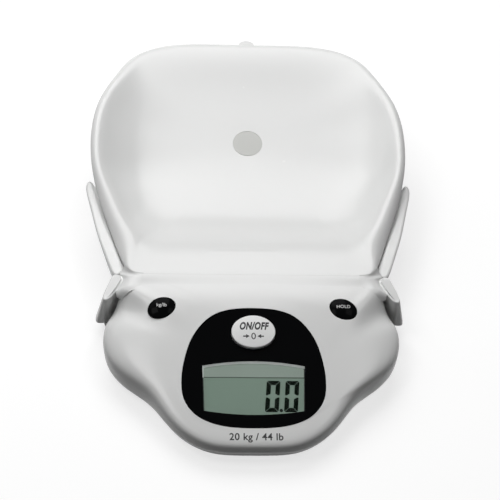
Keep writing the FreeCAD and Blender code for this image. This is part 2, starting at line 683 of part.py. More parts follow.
def power_button():
    return push_button(POWER_LENGTH, POWER_WIDTH, POWER_PROUD, FLANGE_BOTTOM - SLIP, POWER_DOME,
                       POWER_ROUNDING, 0, POWER_V, 0)


def eye_button(side):
    return push_button(EYE_LENGTH, EYE_WIDTH, EYE_N + EYE_PROUD, EYE_N - EYE_DEPTH, EYE_DOME,
                       EYE_ROUNDING, side * EYE_X, EYE_V, -side * EYE_TURN)


# ---- Tray -------------------------------------------------------------------------------------
def tray_floor(y):
    """Height of the tray's floor: a ramp down from the front band, a level, a rise to the back."""
    ramp = smooth_step((SEAM_Y + FRONT_BAND + FRONT_RAMP - y) / FRONT_RAMP)
    rise = FLOOR_RISE * soft_ramp(y - FLOOR_BEND_Y, FLOOR_BEND)
    return FLOOR_Z + rise + (RIM_FRONT - FLOOR_Z) * ramp


def plug_slope():
    return (tray_floor(PLUG_Y + 1) - tray_floor(PLUG_Y - 1)) / 2


def rim_height(point):
    """Crest of the rim: low at the seam, climbing along the sides to the back."""
    climb = smooth_step((point.y + 95) / 300.0) ** 0.85
    return RIM_FRONT + (RIM_BACK - RIM_FRONT) * climb


def bowl_power(point):
    """The wall's steepness: round at the back, tight against the rim in front."""
    ahead = smooth_step((BOWL_TURN_Y - point.y) / BOWL_TURN)
    return BOWL_POWER + (BOWL_POWER_FRONT - BOWL_POWER) * ahead


def rim_share(point):
    """Nought along the seam, where the rim is thin, and one where it is full."""
    return smooth_step((point.y - SEAM_Y) / RIM_CORNER)


def rim_width(point):
    """From the crest to the rim's outermost line."""
    full = RIM_WIDTH + RIM_WAIST_GAIN * smooth_step((RIM_WAIST_Y - point.y) / RIM_WAIST_RUN)
    return RIM_WIDTH_FRONT + (full - RIM_WIDTH_FRONT) * rim_share(point)


def skirt_depth(crest):
    """From the rim's crest down to the skirt's lower edge."""
    return RIM_SKIRT + SKIRT_GAIN * (crest.z - RIM_FRONT)


def cap_ring(radius, columns):
    """Circle round the tray's cap, on the floor's local slope, one point for each column."""
    ring = []
    for target in columns:
        heading = (target - V(0, PLUG_Y, 0)).normalize() * radius
        ring.append(V(heading.x, PLUG_Y + heading.y, tray_floor(PLUG_Y) + plug_slope() * heading.y))
    return ring


def tray_rows(wall):
    """Rows of the tray from the cap's ring over the rim to the skirt's lower edge."""
    edge = mirrored(TRAY_HALF)
    widths = [rim_width(p) for p in edge]
    crest = [V(p.x, p.y, rim_height(q)) for p, q in zip(inset(edge, widths), edge)]
    start = cap_ring(PLUG_RADIUS + SEAT, edge)
    rows = [lifted(start, -wall)]
    for share in (0.08, 0.22, 0.38, 0.52, 0.64, 0.75, 0.85, 0.93, 0.985):
        row = []
        for a, b in zip(start, crest):
            x = a.x + (b.x - a.x) * share
            y = a.y + (b.y - a.y) * share
            floor = tray_floor(y)
            row.append(V(x, y, floor + (b.z - floor) * share ** bowl_power(b) - wall))
        rows.append(row)
    falls = [min(w * RIM_FALL, RIM_FALL_MOST) for w in widths]
    for out, wall_share, lower in ((0.4, 0.0, 1.0), (0.8, 0.4, 1.0), (1.0, 0.9, 0.8)):
        amounts = [w * (1 - out) + wall * wall_share for w in widths]
        rows.append([V(p.x, p.y, q.z - fall * out ** 2.2 - wall * lower)
                     for p, q, fall in zip(inset(edge, amounts), crest, falls)])
    for share in (0.5, 1.0):
        level = inset(edge, [wall * 0.9 + SKIRT_LEAN * share * rim_share(p) for p in edge])
        rows.append([V(p.x, p.y, q.z - fall - (skirt_depth(q) - fall) * share)
                     for p, q, fall in zip(level, crest, falls)])
    return rows


def on_plug(shape):
    """Move a shape built on the XY plane onto the tray floor's slope at the cap."""
    turned = shape.copy()
    turned.rotate(V(0, 0, 0), V(1, 0, 0), math.degrees(math.atan(plug_slope())))
    turned.translate(V(0, PLUG_Y, tray_floor(PLUG_Y)))
    return turned


def tray():
    """Dished tray with a screw cup under its cap, four posts and a finger tab at the back."""
    shell = hollow(tray_rows(0.0), tray_rows(TRAY_WALL))
    posts = []
    for x in (-POST_X, POST_X):
        for y in (PLATE_Y - POST_Y, PLATE_Y + POST_Y):
            low, high = levels(shell, x, y)
            posts.append(post(x, y, LOAD_PLATE_TOP, (low + high) / 2, POST_RADIUS))
    cup = post(0, PLUG_Y, LOAD_PLATE_TOP, RIM_BACK, PLUG_RADIUS + CUP_WALL)
    cup = cup.cut(on_plug(box(-60, 60, -60, 60, -PLUG_WALL, 60)))
    shell = shell.fuse([cup] + posts)
    cup_floor = LOAD_PLATE_TOP + CUP_FLOOR
    shell = shell.cut(post(0, PLUG_Y, cup_floor, RIM_BACK, CUP_BORE))
    shell = shell.cut(post(0, PLUG_Y, LOAD_PLATE_TOP - 1, cup_floor + 1, M4 + HOLE_SLIP))
    back = TRAY_HALF[0][1]
    root = back - RIM_WIDTH * 0.45
    tab_top = RIM_BACK - TAB_DROP
    tab = oval(TAB_WIDTH, 2 * (back + TAB_REACH - root), tab_top - TAB_WALL, tab_top, 0, root)
    return shell.fuse(tab.cut(box(-TAB_WIDTH, TAB_WIDTH, root - TAB_WIDTH, root, 0, RIM_BACK)))


def tray_plug():
    cap = Part.makeCylinder(PLUG_RADIUS, PLUG_WALL, V(0, 0, -PLUG_WALL))
    radius = CUP_BORE - PLUG_RING_SLIP
    foot = -PLUG_WALL - PLUG_RING_HEIGHT
    ring = Part.makeCylinder(radius, PLUG_RING_HEIGHT, V(0, 0, foot))
    ring = ring.cut(Part.makeCylinder(radius - PLUG_RING_WALL, PLUG_RING_HEIGHT + 1, V(0, 0, foot - 1)))
    return on_plug(cap.fuse(ring))


def tray_screw():
    return screw(0, PLUG_Y, LOAD_PLATE_TOP + CUP_FLOOR, 10, M4, M4_HEAD, -1)


# ---- Weighing mechanism -------------------------------------------------------------------------
def load_plate():
    """Square plate under the tray, with a hub on the load cell and lightening slots."""
    half_x = PLATE_WIDTH / 2
    half_y = PLATE_LENGTH / 2
    plate = box(-half_x, half_x, PLATE_Y - half_y, PLATE_Y + half_y, LOAD_PLATE_BOTTOM, LOAD_PLATE_TOP)
    corners = [edge for edge in plate.Edges if abs(edge.tangentAt(edge.FirstParameter).z) > 0.9]
    plate = plate.makeFillet(PLATE_CORNER, corners)
    hub_half = PEDESTAL / 2
    hub = box(-hub_half, hub_half, PLUG_Y - hub_half - HUB_SPARE, PLUG_Y + hub_half + HUB_SPARE,
              CELL_TOP + SPACER_WALL, LOAD_PLATE_TOP)
    plate = plate.fuse(hub)
    for x in (-half_x * 0.55, half_x * 0.55):
        for y in (PLATE_Y - half_y * 0.42, PLATE_Y + half_y * 0.42):
            plate = plate.cut(oval(PLATE_SLOT_LENGTH, PLATE_SLOT_WIDTH, LOAD_PLATE_BOTTOM - 1,
                                   LOAD_PLATE_TOP + 1, x, y, 90))
    for y in cell_hole_places(PLUG_Y):
        plate = plate.cut(post(0, y, CELL_TOP, LOAD_PLATE_TOP, M4 + SEAT))
        plate = plate.cut(post(0, y, LOAD_PLATE_TOP - PLATE_SEAT, LOAD_PLATE_TOP + 1, M4_HEAD + SLIP))
    return plate.cut(post(0, PLUG_Y, LOAD_PLATE_TOP - 8, LOAD_PLATE_TOP + 1, M4))


def cell_hole_places(middle):
    return (middle - CELL_HOLE_PITCH / 2, middle + CELL_HOLE_PITCH / 2)


def load_cell():
    """Aluminium bar with a double bore that lets its free end sink straight down."""
    half = CELL_SIZE / 2
    bar = box(-half, half, CELL_FRONT, CELL_BACK, CELL_Z, CELL_TOP)
    middle = (CELL_FRONT + CELL_BACK) / 2
    centre_z = CELL_Z + half
    bores = (middle - CELL_BORE_PLACE, middle + CELL_BORE_PLACE)
    for y in bores:
        bar = bar.cut(Part.makeCylinder(CELL_BORE, CELL_SIZE + 2, V(-half - 1, y, centre_z), V(1, 0, 0)))
    bar = bar.cut(box(-half - 1, half + 1, bores[0], bores[1],
                      centre_z - CELL_SLOT / 2, centre_z + CELL_SLOT / 2))
    for y in cell_hole_places(FIXED_Y) + cell_hole_places(PLUG_Y):
        bar = bar.cut(post(0, y, CELL_Z - 1, CELL_TOP + 1, M4))
    return bar


def spacer(middle, z0):
    half = SPACER_LENGTH / 2
    plate = box(-CELL_SIZE / 2, CELL_SIZE / 2, middle - half, middle + half, z0, z0 + SPACER_WALL)
    for y in cell_hole_places(middle):
        plate = plate.cut(post(0, y, z0 - 1, z0 + SPACER_WALL + 1, M4 + HOLE_SLIP))
    return plate


def load_cell_screws():
    """Screws from below through the housing's pedestal into the fixed end."""
    seat = PAN_INNER
    length = CELL_Z + CELL_SIZE * 0.75 - seat
    return group([screw(0, y, seat, length, M4, M4_HEAD, 1) for y in cell_hole_places(FIXED_Y)])


def platform_screws():
    """Screws from above through the load plate's hub into the free end."""
    seat = LOAD_PLATE_TOP - PLATE_SEAT
    length = seat - CELL_TOP + CELL_SIZE * 0.75
    return group([screw(0, y, seat, length, M4, M4_HEAD, -1) for y in cell_hole_places(PLUG_Y)])


def load_cell_lead():
    """From the cell's side through both wall slots and up to the board's underside."""
    half = CELL_SIZE / 2
    y = FIXED_Y - 4
    points = [V(half, y, CELL_Z + 8), V(half + 14, y, CELL_Z + 8), V(34, y - 13, 21), V(42.5, y - 41, 15.5),
              V(LEAD_X + 1.5, -20, 14), V(LEAD_X - 1, SEAM_Y + 16, 16), V(LEAD_X + 1, CONSOLE_Y - 17, 15.5),
              panel_point(48, 47, -BOARD_BACK - 15), panel_point(48, 47, -BOARD_BACK)]
    return lead(points, LEAD_RADIUS)


# ---- Housing ------------------------------------------------------------------------------------
def foot_places():
    return [(side * x, y) for x, y in (FOOT_FRONT, FOOT_BACK) for side in (-1, 1)]


def boss_places():
    """Every screw that comes up through the bottom housing's floor."""
    arms = [(side * x, y) for x, y in ARM_BOSSES for side in (-1, 1)]
    ears = [(side * EAR_BOSS[0], EAR_BOSS[1]) for side in (-1, 1)]
    return CONSOLE_BOSSES + DECK_BOSSES + arms + ears


def pan_rows(wall):
    edge = inset(mirrored(PAN_HALF), wall)
    low = PAN_BOTTOM if wall == 0 else PAN_INNER
    height = PARTING - low
    steps = ((0.0, 1.0), (0.2, 0.6), (0.8, 0.25), (2.2, 0.03), (4.5, 0.0), (6.5, 0.0))
    return [at_height(inset(edge, amount), low + height * share) for amount, share in steps]


def bottom_housing():
    """Shallow pan that carries everything, with the battery bay let into its floor."""
    pan = dish_of(pan_rows(0.0), pan_rows(WALL))
    bay = box(-BAY_HALF_X - BAY_WALL, BAY_HALF_X + BAY_WALL, BATTERY_Y - BAY_HALF_Y - BAY_WALL,
              BATTERY_Y + BAY_HALF_Y + BAY_WALL, PAN_INNER - 1, BAY_TOP + BAY_WALL)
    half = PEDESTAL / 2
    pedestal = box(-half, half, FIXED_Y - half, FIXED_Y + half, PAN_INNER - 1, CELL_Z - SPACER_WALL)
    stop = post(0, PLUG_Y, PAN_INNER - 1, CELL_Z - TRAY_TRAVEL - CELL_STOP_AIR, CELL_STOP_RADIUS)
    pan = pan.fuse([bay, pedestal, stop] + floor_ribs() + door_guides())
    pan = pan.cut(box(-BAY_HALF_X, BAY_HALF_X, BATTERY_Y - BAY_HALF_Y, BATTERY_Y + BAY_HALF_Y,
                      PAN_BOTTOM - 1, BAY_TOP))
    for x, y in foot_places():
        pan = pan.cut(post(x, y, PAN_BOTTOM - 1, PAN_BOTTOM + FOOT_RECESS, FOOT_RADIUS + SEAT))
    for x, y in boss_places():
        pan = pan.cut(post(x, y, PAN_BOTTOM - 1, PAN_INNER + 1, M3 + HOLE_SLIP))
        pan = pan.cut(post(x, y, PAN_BOTTOM - 1, PAN_BOTTOM + SEAT_DEPTH, M3_HEAD + SLIP))
    for y in cell_hole_places(FIXED_Y):
        pan = pan.cut(post(0, y, PAN_BOTTOM - 1, CELL_Z, M4 + HOLE_SLIP))
        pan = pan.cut(post(0, y, PAN_BOTTOM - 1, PAN_INNER, M4_HEAD + SLIP))
    return pan


def floor_ribs():
    """Stiffening ribs on the pan's floor."""
    ribs = []
    half = RIB_WALL / 2
    low = PAN_INNER - RIB_WALL / 4
    for x in RIB_PLACES_X:
        ribs.append(box(x - half, x + half, RIB_PLACES_Y[0] - 2, RIB_PLACES_Y[-1] + 2, low, PARTING))
    for y in RIB_PLACES_Y:
        ribs.append(box(RIB_PLACES_X[0] - 6, RIB_PLACES_X[-1] + 6, y - half, y + half, low, PARTING - 1))
    return ribs


def door_guides():
    """Two L-shaped rails under the pan that the battery door slides in."""
    guides = []
    door_edge = BAY_HALF_X + DOOR_MARGIN
    outer = door_edge + GUIDE_SLIP + GUIDE_WALL
    y0 = BATTERY_Y - BAY_HALF_Y - DOOR_MARGIN
    y1 = BATTERY_Y + BAY_HALF_Y + DOOR_MARGIN
    low = PAN_BOTTOM - DOOR_WALL - GUIDE_DROP
    for side in (-1, 1):
        wall = sorted((side * (door_edge + GUIDE_SLIP), side * outer))
        lip = sorted((side * (door_edge - GUIDE_LIP), side * outer))
        guides.append(box(wall[0], wall[1], y0, y1, low, PAN_BOTTOM + 1))
        guides.append(box(lip[0], lip[1], y0, y1, low, low + GUIDE_LIP_WALL))
    return guides


def battery_door():
    """Sliding door under the battery bay, with grip ridges at its front end."""
    half = BAY_HALF_X + DOOR_MARGIN
    y0 = BATTERY_Y - BAY_HALF_Y - DOOR_MARGIN - 1
    y1 = BATTERY_Y + BAY_HALF_Y + DOOR_MARGIN
    top = PAN_BOTTOM - DOOR_SLIP
    low = top - DOOR_WALL
    door = box(-half, half, y0, y1, low, top)
    for i in range(GRIP_COUNT):
        y = y0 + 4 + GRIP_PITCH * i
        ridge = box(-GRIP_WIDTH / 2, GRIP_WIDTH / 2, y, y + GRIP_WALL, low - GRIP_PROUD, low + SEAT)
        door = door.fuse(ridge)
    return door


def batteries():
    cells = []
    for i in range(AA_COUNT):
        x = (i - (AA_COUNT - 1) / 2) * AA_PITCH
        way = 1 if i % 2 else -1
        base = V(x, BATTERY_Y - way * AA_LENGTH / 2, CELL_AXIS_Z)
        can = Part.makeCylinder(AA_RADIUS, AA_LENGTH - AA_NUB_PROUD, base, V(0, way, 0))
        nub = Part.makeCylinder(AA_NUB, AA_LENGTH, base, V(0, way, 0))
        cells.append(can.fuse(nub))
    return group(cells)


def battery_contacts():
    """Sprung strips at both ends of the bay, each joining two cells."""
    strips = []
    for i in range(AA_COUNT):
        x = (i - (AA_COUNT - 1) / 2) * AA_PITCH
        for way in (-1, 1):
            wall_y = BATTERY_Y + way * BAY_HALF_Y
            near = BATTERY_Y + way * (AA_LENGTH / 2 + CONTACT_AIR)
            y0, y1 = sorted((wall_y, wall_y - way * CONTACT_WALL))
            plate = box(x - CONTACT_WIDTH / 2, x + CONTACT_WIDTH / 2, y0, y1, PAN_INNER + 1, BAY_TOP - 2)
            root = V(x, wall_y - way * CONTACT_WALL / 2, CELL_AXIS_Z)
            tip = Part.makeCone(AA_NUB * 1.6, AA_NUB * 0.85, abs(root.y - near), root, V(0, -way, 0))
            strips.append(plate.fuse(tip))
    return group(strips)


def battery_leads():
    """One wire from each side of the bay up to the board's underside."""
    wires = []
    start = BAY_HALF_X + BAY_WALL
    y = BATTERY_Y - AA_LENGTH * 0.44
    z = CELL_AXIS_Z + AA_RADIUS * 0.45
    for side in (-1, 1):
        turn = side * (start + WIRE_REACH)
        end = side * (start + WIRE_REACH * 1.6)
        points = [V(side * start, y, z), V(turn, y, z),
                  panel_point(end, POWER_V - WIRE_REACH / 2, -BOARD_BACK - WIRE_REACH),
                  panel_point(end, POWER_V - WIRE_REACH / 2, -BOARD_BACK)]
        wires.append(lead(points, WIRE_RADIUS))
    return group(wires)


def deck_rows(wall):
    top = inset(mirrored(DECK_HALF), wall)
    draft = [-DECK_DRAFT * smooth_step((p.y - SEAM_Y - 1) / 30.0) for p in top]
    foot = inset(top, draft)
    crown = DECK_TOP - wall
    rows = [at_height(foot, PARTING), at_height(between(foot, top, 0.4), PARTING + 9)]
    rows.append(at_height(top, crown - 3.5))
    rows.append(at_height(inset(top, 0.4), crown - 0.6))
    rows.append(at_height(inset(top, 2.6), crown))
    rows.append(at_height(inset(top, 5.0), crown))
    return rows


def deck_cover():
    """Upturned pan over the mechanism, with a window for the load plate's hub."""
    deck = dish_of(deck_rows(0.0), deck_rows(WALL))
    bosses = [post(x, y, PAN_INNER + SEAT, DECK_TOP - 1, BOSS_RADIUS) for x, y in DECK_BOSSES]
    half_x = PLATE_WIDTH / 2 - STOP_INSET
    half_y = PLATE_LENGTH / 2 - STOP_INSET
    stops = [post(sx * half_x, PLATE_Y + sy * half_y, DECK_TOP - 1, DECK_TOP + STOP_HEIGHT, STOP_RADIUS)
             for sx in (-1, 1) for sy in (-1, 1)]
    deck = deck.fuse(bosses + stops)
    for x, y in DECK_BOSSES:
        deck = deck.cut(pilot(x, y))
    half_x = PEDESTAL / 2 + HUB_WINDOW
    half_y = half_x + HUB_SPARE
    deck = deck.cut(lead_slot())
    return deck.cut(box(-half_x, half_x, PLUG_Y - half_y, PLUG_Y + half_y, DECK_TOP - 2 * WALL,
                        DECK_TOP + 2 * WALL))


def lobe(top_outline, foot_outline, bosses, top_z, slope, edge, reach):
    """Hollow right-hand side piece on the pan's rim.

    The top's edge is rounded over the width edge. The cavity climbs to the share reach of the height.
    """
    def crown(row, drop, share=1.0):
        return [V(p.x, p.y, PARTING + (top_z + slope * (p.y - SEAM_Y) - PARTING) * share - drop)
                for p in row]

    top = crown([V(x, y, 0) for x, y in top_outline], 0)
    foot = [V(x, y, PARTING) for x, y in foot_outline]
    rows = [foot, between(foot, top, 0.45), lifted(between(foot, top, 0.95), -0.2)]
    rows.append(crown(inset(top, edge * 0.17), edge * 0.3))
    rows.append(crown(inset(top, edge * 0.6), 0.0))
    rows.append(crown(inset(top, edge), 0.0))
    block = sewn([skin(rows), flat_face(rows[0]), flat_face(rows[-1])])
    cavity = [inset(foot, LOBE_WALL), crown(inset(between(foot, top, reach), LOBE_WALL), 0, reach)]
    body = block.cut(sewn([skin(cavity, 1), flat_face(cavity[0]), flat_face(cavity[1])]))
    for x, y in bosses:
        column = post(x, y, PAN_INNER + SEAT, top_z - 4, LOBE_BOSS_RADIUS)
        boss = column.common(block).fuse(post(x, y, PAN_INNER + SEAT, PARTING + 1, LOBE_BOSS_RADIUS))
        body = body.fuse(boss).cut(pilot(x, y))
    return body


def arm(side):
    foot = [(x - ARM_LEAN, y) for x, y in ARM_OUTLINE]
    return on_side(lobe(ARM_OUTLINE, foot, ARM_BOSSES, ARM_TOP_Z, ARM_SLOPE, 3.0, 0.85), side)


def ear(side):
    return on_side(lobe(EAR_OUTLINE, EAR_FOOT, [EAR_BOSS], EAR_TOP_Z, 0.0, 1.8, 0.5), side)


def housing_screws():
    seat = PAN_BOTTOM + SEAT_DEPTH
    length = PAN_INNER + PILOT_DEPTH - PILOT_SPARE - seat
    return group([screw(x, y, seat, length, M3, M3_HEAD, 1) for x, y in boss_places()])


def rubber_feet():
    feet = []
    for x, y in foot_places():
        pad = post(x, y, 0, FOOT_HEIGHT + FOOT_RECESS, FOOT_RADIUS)
        rim = [edge for edge in pad.Edges if edge.BoundBox.ZMax < 0.01]
        feet.append(pad.makeFillet(1.2, rim))
    return group(feet)


PIECES = {
    "tray": tray,
    "tray_plug": tray_plug,
    "tray_screw": tray_screw,
    "load_plate": load_plate,
    "upper_spacer": lambda: spacer(PLUG_Y, CELL_TOP),
    "platform_screws": platform_screws,
    "load_cell": load_cell,
    "lower_spacer": lambda: spacer(FIXED_Y, CELL_Z - SPACER_WALL),
    "load_cell_screws": load_cell_screws,
    "load_cell_lead": load_cell_lead,
    "bottom_housing": bottom_housing,
    "deck_cover": deck_cover,
    "console_cover": console_cover,
    "left_arm": lambda: arm(-1),
    "right_arm": lambda: arm(1),
    "left_ear": lambda: ear(-1),
    "right_ear": lambda: ear(1),
    "housing_screws": housing_screws,
    "rubber_feet": rubber_feet,
    "display_panel": display_panel,
    "lcd_window": lcd_window,
    "lcd_frame": lcd_frame,
    "lcd_glass": lcd_glass,
    "zebra_strips": zebra_strips,
    "main_board": main_board,
    "board_screws": board_screws,
    "tact_switches": tact_switches,
    "signal_chip": signal_chip,
    "power_button": power_button,
    "left_button": lambda: eye_button(-1),
    "right_button": lambda: eye_button(1),
    "batteries": batteries,
    "battery_contacts": battery_contacts,
    "battery_leads": battery_leads,
    "battery_door": battery_door,
}

os.makedirs("parts", exist_ok=True)
for name, make in PIECES.items():
    piece = make()
    piece.translate(V(0, -MIDDLE_Y, 0))
    piece.exportStep("parts/%s.step" % name)
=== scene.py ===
import json
import math

import bmesh
import bpy
from mathutils import Matrix, Vector
from mathutils.bvhtree import BVHTree


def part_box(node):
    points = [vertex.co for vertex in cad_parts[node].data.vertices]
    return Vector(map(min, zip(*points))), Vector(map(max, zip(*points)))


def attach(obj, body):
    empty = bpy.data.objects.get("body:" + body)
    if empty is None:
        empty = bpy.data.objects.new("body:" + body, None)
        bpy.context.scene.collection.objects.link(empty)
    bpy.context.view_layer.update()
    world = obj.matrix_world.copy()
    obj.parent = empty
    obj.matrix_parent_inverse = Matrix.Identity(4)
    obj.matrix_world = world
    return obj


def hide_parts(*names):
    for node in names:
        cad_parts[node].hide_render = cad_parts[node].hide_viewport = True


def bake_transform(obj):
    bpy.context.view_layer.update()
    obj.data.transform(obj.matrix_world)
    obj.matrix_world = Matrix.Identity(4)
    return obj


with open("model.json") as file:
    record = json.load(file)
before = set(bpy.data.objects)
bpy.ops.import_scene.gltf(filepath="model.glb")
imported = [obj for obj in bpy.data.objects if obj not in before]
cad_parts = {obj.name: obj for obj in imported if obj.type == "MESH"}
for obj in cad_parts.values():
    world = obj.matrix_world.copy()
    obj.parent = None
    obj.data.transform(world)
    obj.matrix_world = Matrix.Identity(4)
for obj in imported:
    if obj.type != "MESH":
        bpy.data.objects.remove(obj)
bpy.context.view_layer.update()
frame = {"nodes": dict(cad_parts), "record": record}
nodes = frame["nodes"]

# Lengths are in mm and become metres where points are made. The camera's and the lamps' places, the
# floor and the relief of the materials are in metres.
MM = 0.001

# ---- The display panel's own frame: u to the right, v up the slope, n out of the panel ----
TILT = math.radians(14.0)
PANEL_Y = -173.95           # the frame's origin, on the middle of the scale
PANEL_Z = 43.0
PANEL_NORMAL = Vector((0.0, -math.sin(TILT), math.cos(TILT)))


def on_panel(u, v, n):
    """The point in metres at u, v and n in mm."""
    return Vector((u, PANEL_Y + v * math.cos(TILT) - n * math.sin(TILT),
                   PANEL_Z + v * math.sin(TILT) + n * math.cos(TILT))) * MM


def panel_place(point):
    """The u and v in mm of a point in metres."""
    offset = point / MM - Vector((0.0, PANEL_Y, PANEL_Z))
    return offset.x, offset.y * math.cos(TILT) + offset.z * math.sin(TILT)


# ---- Camera: 47 degrees up, a little to the left, and rolled ----
ELEVATION = 0.82030
YAW = 0.06865
ROLL = 0.06258
DISTANCE = 1.05
TARGET = Vector((-0.00054, -0.03845, 0.05))
SENSOR_WIDTH = 36.0
FOCAL_LENGTH = 77.4
NEAR_CLIP = 0.05
FAR_CLIP = 50.0


def make_camera():
    back = Vector((-math.sin(YAW) * math.cos(ELEVATION), -math.cos(YAW) * math.cos(ELEVATION),
                   math.sin(ELEVATION)))
    level = Vector((math.cos(YAW), -math.sin(YAW), 0.0))
    upright = back.cross(level)
    right = math.cos(ROLL) * level + math.sin(ROLL) * upright
    up = -math.sin(ROLL) * level + math.cos(ROLL) * upright
    camera = bpy.data.objects.new("camera", bpy.data.cameras.new("camera"))
    camera.data.sensor_width = SENSOR_WIDTH
    camera.data.lens = FOCAL_LENGTH
    camera.data.clip_start = NEAR_CLIP
    camera.data.clip_end = FAR_CLIP
    turn = Matrix((right, up, back)).transposed()
    camera.matrix_world = Matrix.Translation(TARGET + back * DISTANCE) @ turn.to_4x4()
    bpy.context.scene.collection.objects.link(camera)
    bpy.context.scene.camera = camera


# ---- Materials ----
WHITE = (1.0, 1.0, 1.0, 1.0)
NOISE_RANGE = (0.2, 0.8)        # where nearly all values of a noise texture lie
ROUGH_DETAIL = 4.0
GRAIN_DETAIL = 2.0


def new_material(name):
    """A material, its node tree and its Principled shader."""
    material = bpy.data.materials.new(name)
    material.use_nodes = True
    tree = material.node_tree
    return material, tree, tree.nodes["Principled BSDF"]


def noise(tree, scale, detail=3.0, stretch=None):
    """A noise texture in object space; stretch scales it along each axis, for a drawn grain."""
    where = tree.nodes.new("ShaderNodeTexCoord")
    texture = tree.nodes.new("ShaderNodeTexNoise")
    texture.inputs["Scale"].default_value = scale
    texture.inputs["Detail"].default_value = detail
    if stretch:
        mapping = tree.nodes.new("ShaderNodeMapping")
        mapping.inputs["Scale"].default_value = stretch
        tree.links.new(where.outputs["Object"], mapping.inputs["Vector"])
        tree.links.new(mapping.outputs["Vector"], texture.inputs["Vector"])
    else:
        tree.links.new(where.outputs["Object"], texture.inputs["Vector"])
    return texture.outputs["Fac"]


def spread(tree, factor, low, high):
    """factor's usual range mapped to low..high."""
    ranged = tree.nodes.new("ShaderNodeMapRange")
    ranged.inputs["From Min"].default_value = NOISE_RANGE[0]
    ranged.inputs["From Max"].default_value = NOISE_RANGE[1]
    ranged.inputs["To Min"].default_value = low
    ranged.inputs["To Max"].default_value = high
    tree.links.new(factor, ranged.inputs["Value"])
    return ranged.outputs["Result"]


def tinted(tree, factor, first, second):
    """A colour that wanders between two tones."""
    mix = tree.nodes.new("ShaderNodeMix")
    mix.data_type = "RGBA"
    mix.inputs["A"].default_value = (*first, 1.0)
    mix.inputs["B"].default_value = (*second, 1.0)
    tree.links.new(spread(tree, factor, 0.0, 1.0), mix.inputs["Factor"])
    return mix.outputs["Result"]


def bump(tree, shader, height, strength, distance):
    node = tree.nodes.new("ShaderNodeBump")
    node.inputs["Strength"].default_value = strength
    node.inputs["Distance"].default_value = distance
    tree.links.new(height, node.inputs["Height"])
    tree.links.new(node.outputs["Normal"], shader.inputs["Normal"])


def surface(name, color, variation, roughness, specular=0.5, metallic=0.0, tone_scale=18.0,
            tone_detail=3.0, rough_scale=60.0, grain=None, stretch=None):
    """A Principled material whose tone, gloss and fine relief vary over the surface.

    color and variation are its two tones, roughness is a range, and grain is the relief's scale,
    strength and depth in metres."""
    material, tree, shader = new_material(name)
    shader.inputs["Specular IOR Level"].default_value = specular
    shader.inputs["Metallic"].default_value = metallic
    tone = tinted(tree, noise(tree, tone_scale, tone_detail, stretch), color, variation)
    tree.links.new(tone, shader.inputs["Base Color"])
    gloss = spread(tree, noise(tree, rough_scale, ROUGH_DETAIL, stretch), *roughness)
    tree.links.new(gloss, shader.inputs["Roughness"])
    if grain:
        scale, strength, distance = grain
        bump(tree, shader, noise(tree, scale, GRAIN_DETAIL, stretch), strength, distance)
    return material


LENS_TINT = (0.95, 0.965, 0.955, 1.0)
LENS_IOR = 1.12                 # low, because the real window barely mirrors the room
LENS_ROUGHNESS = (0.03, 0.06)
LENS_NOISE = 40.0


def lens_material():
    """Clear plastic that lets light straight through and mirrors a little at its surface."""
    material, tree, principled = new_material("lens_clear")
    tree.nodes.remove(principled)
    clear = tree.nodes.new("ShaderNodeBsdfTransparent")
    clear.inputs["Color"].default_value = LENS_TINT
    gloss = tree.nodes.new("ShaderNodeBsdfGlossy")
    gloss.inputs["Color"].default_value = WHITE
    tree.links.new(spread(tree, noise(tree, LENS_NOISE), *LENS_ROUGHNESS), gloss.inputs["Roughness"])
    fresnel = tree.nodes.new("ShaderNodeFresnel")
    fresnel.inputs["IOR"].default_value = LENS_IOR
    mix = tree.nodes.new("ShaderNodeMixShader")
    tree.links.new(fresnel.outputs["Fac"], mix.inputs["Fac"])
    tree.links.new(clear.outputs["BSDF"], mix.inputs[1])
    tree.links.new(gloss.outputs["BSDF"], mix.inputs[2])
    tree.links.new(mix.outputs["Shader"], tree.nodes["Material Output"].inputs["Surface"])
    return material


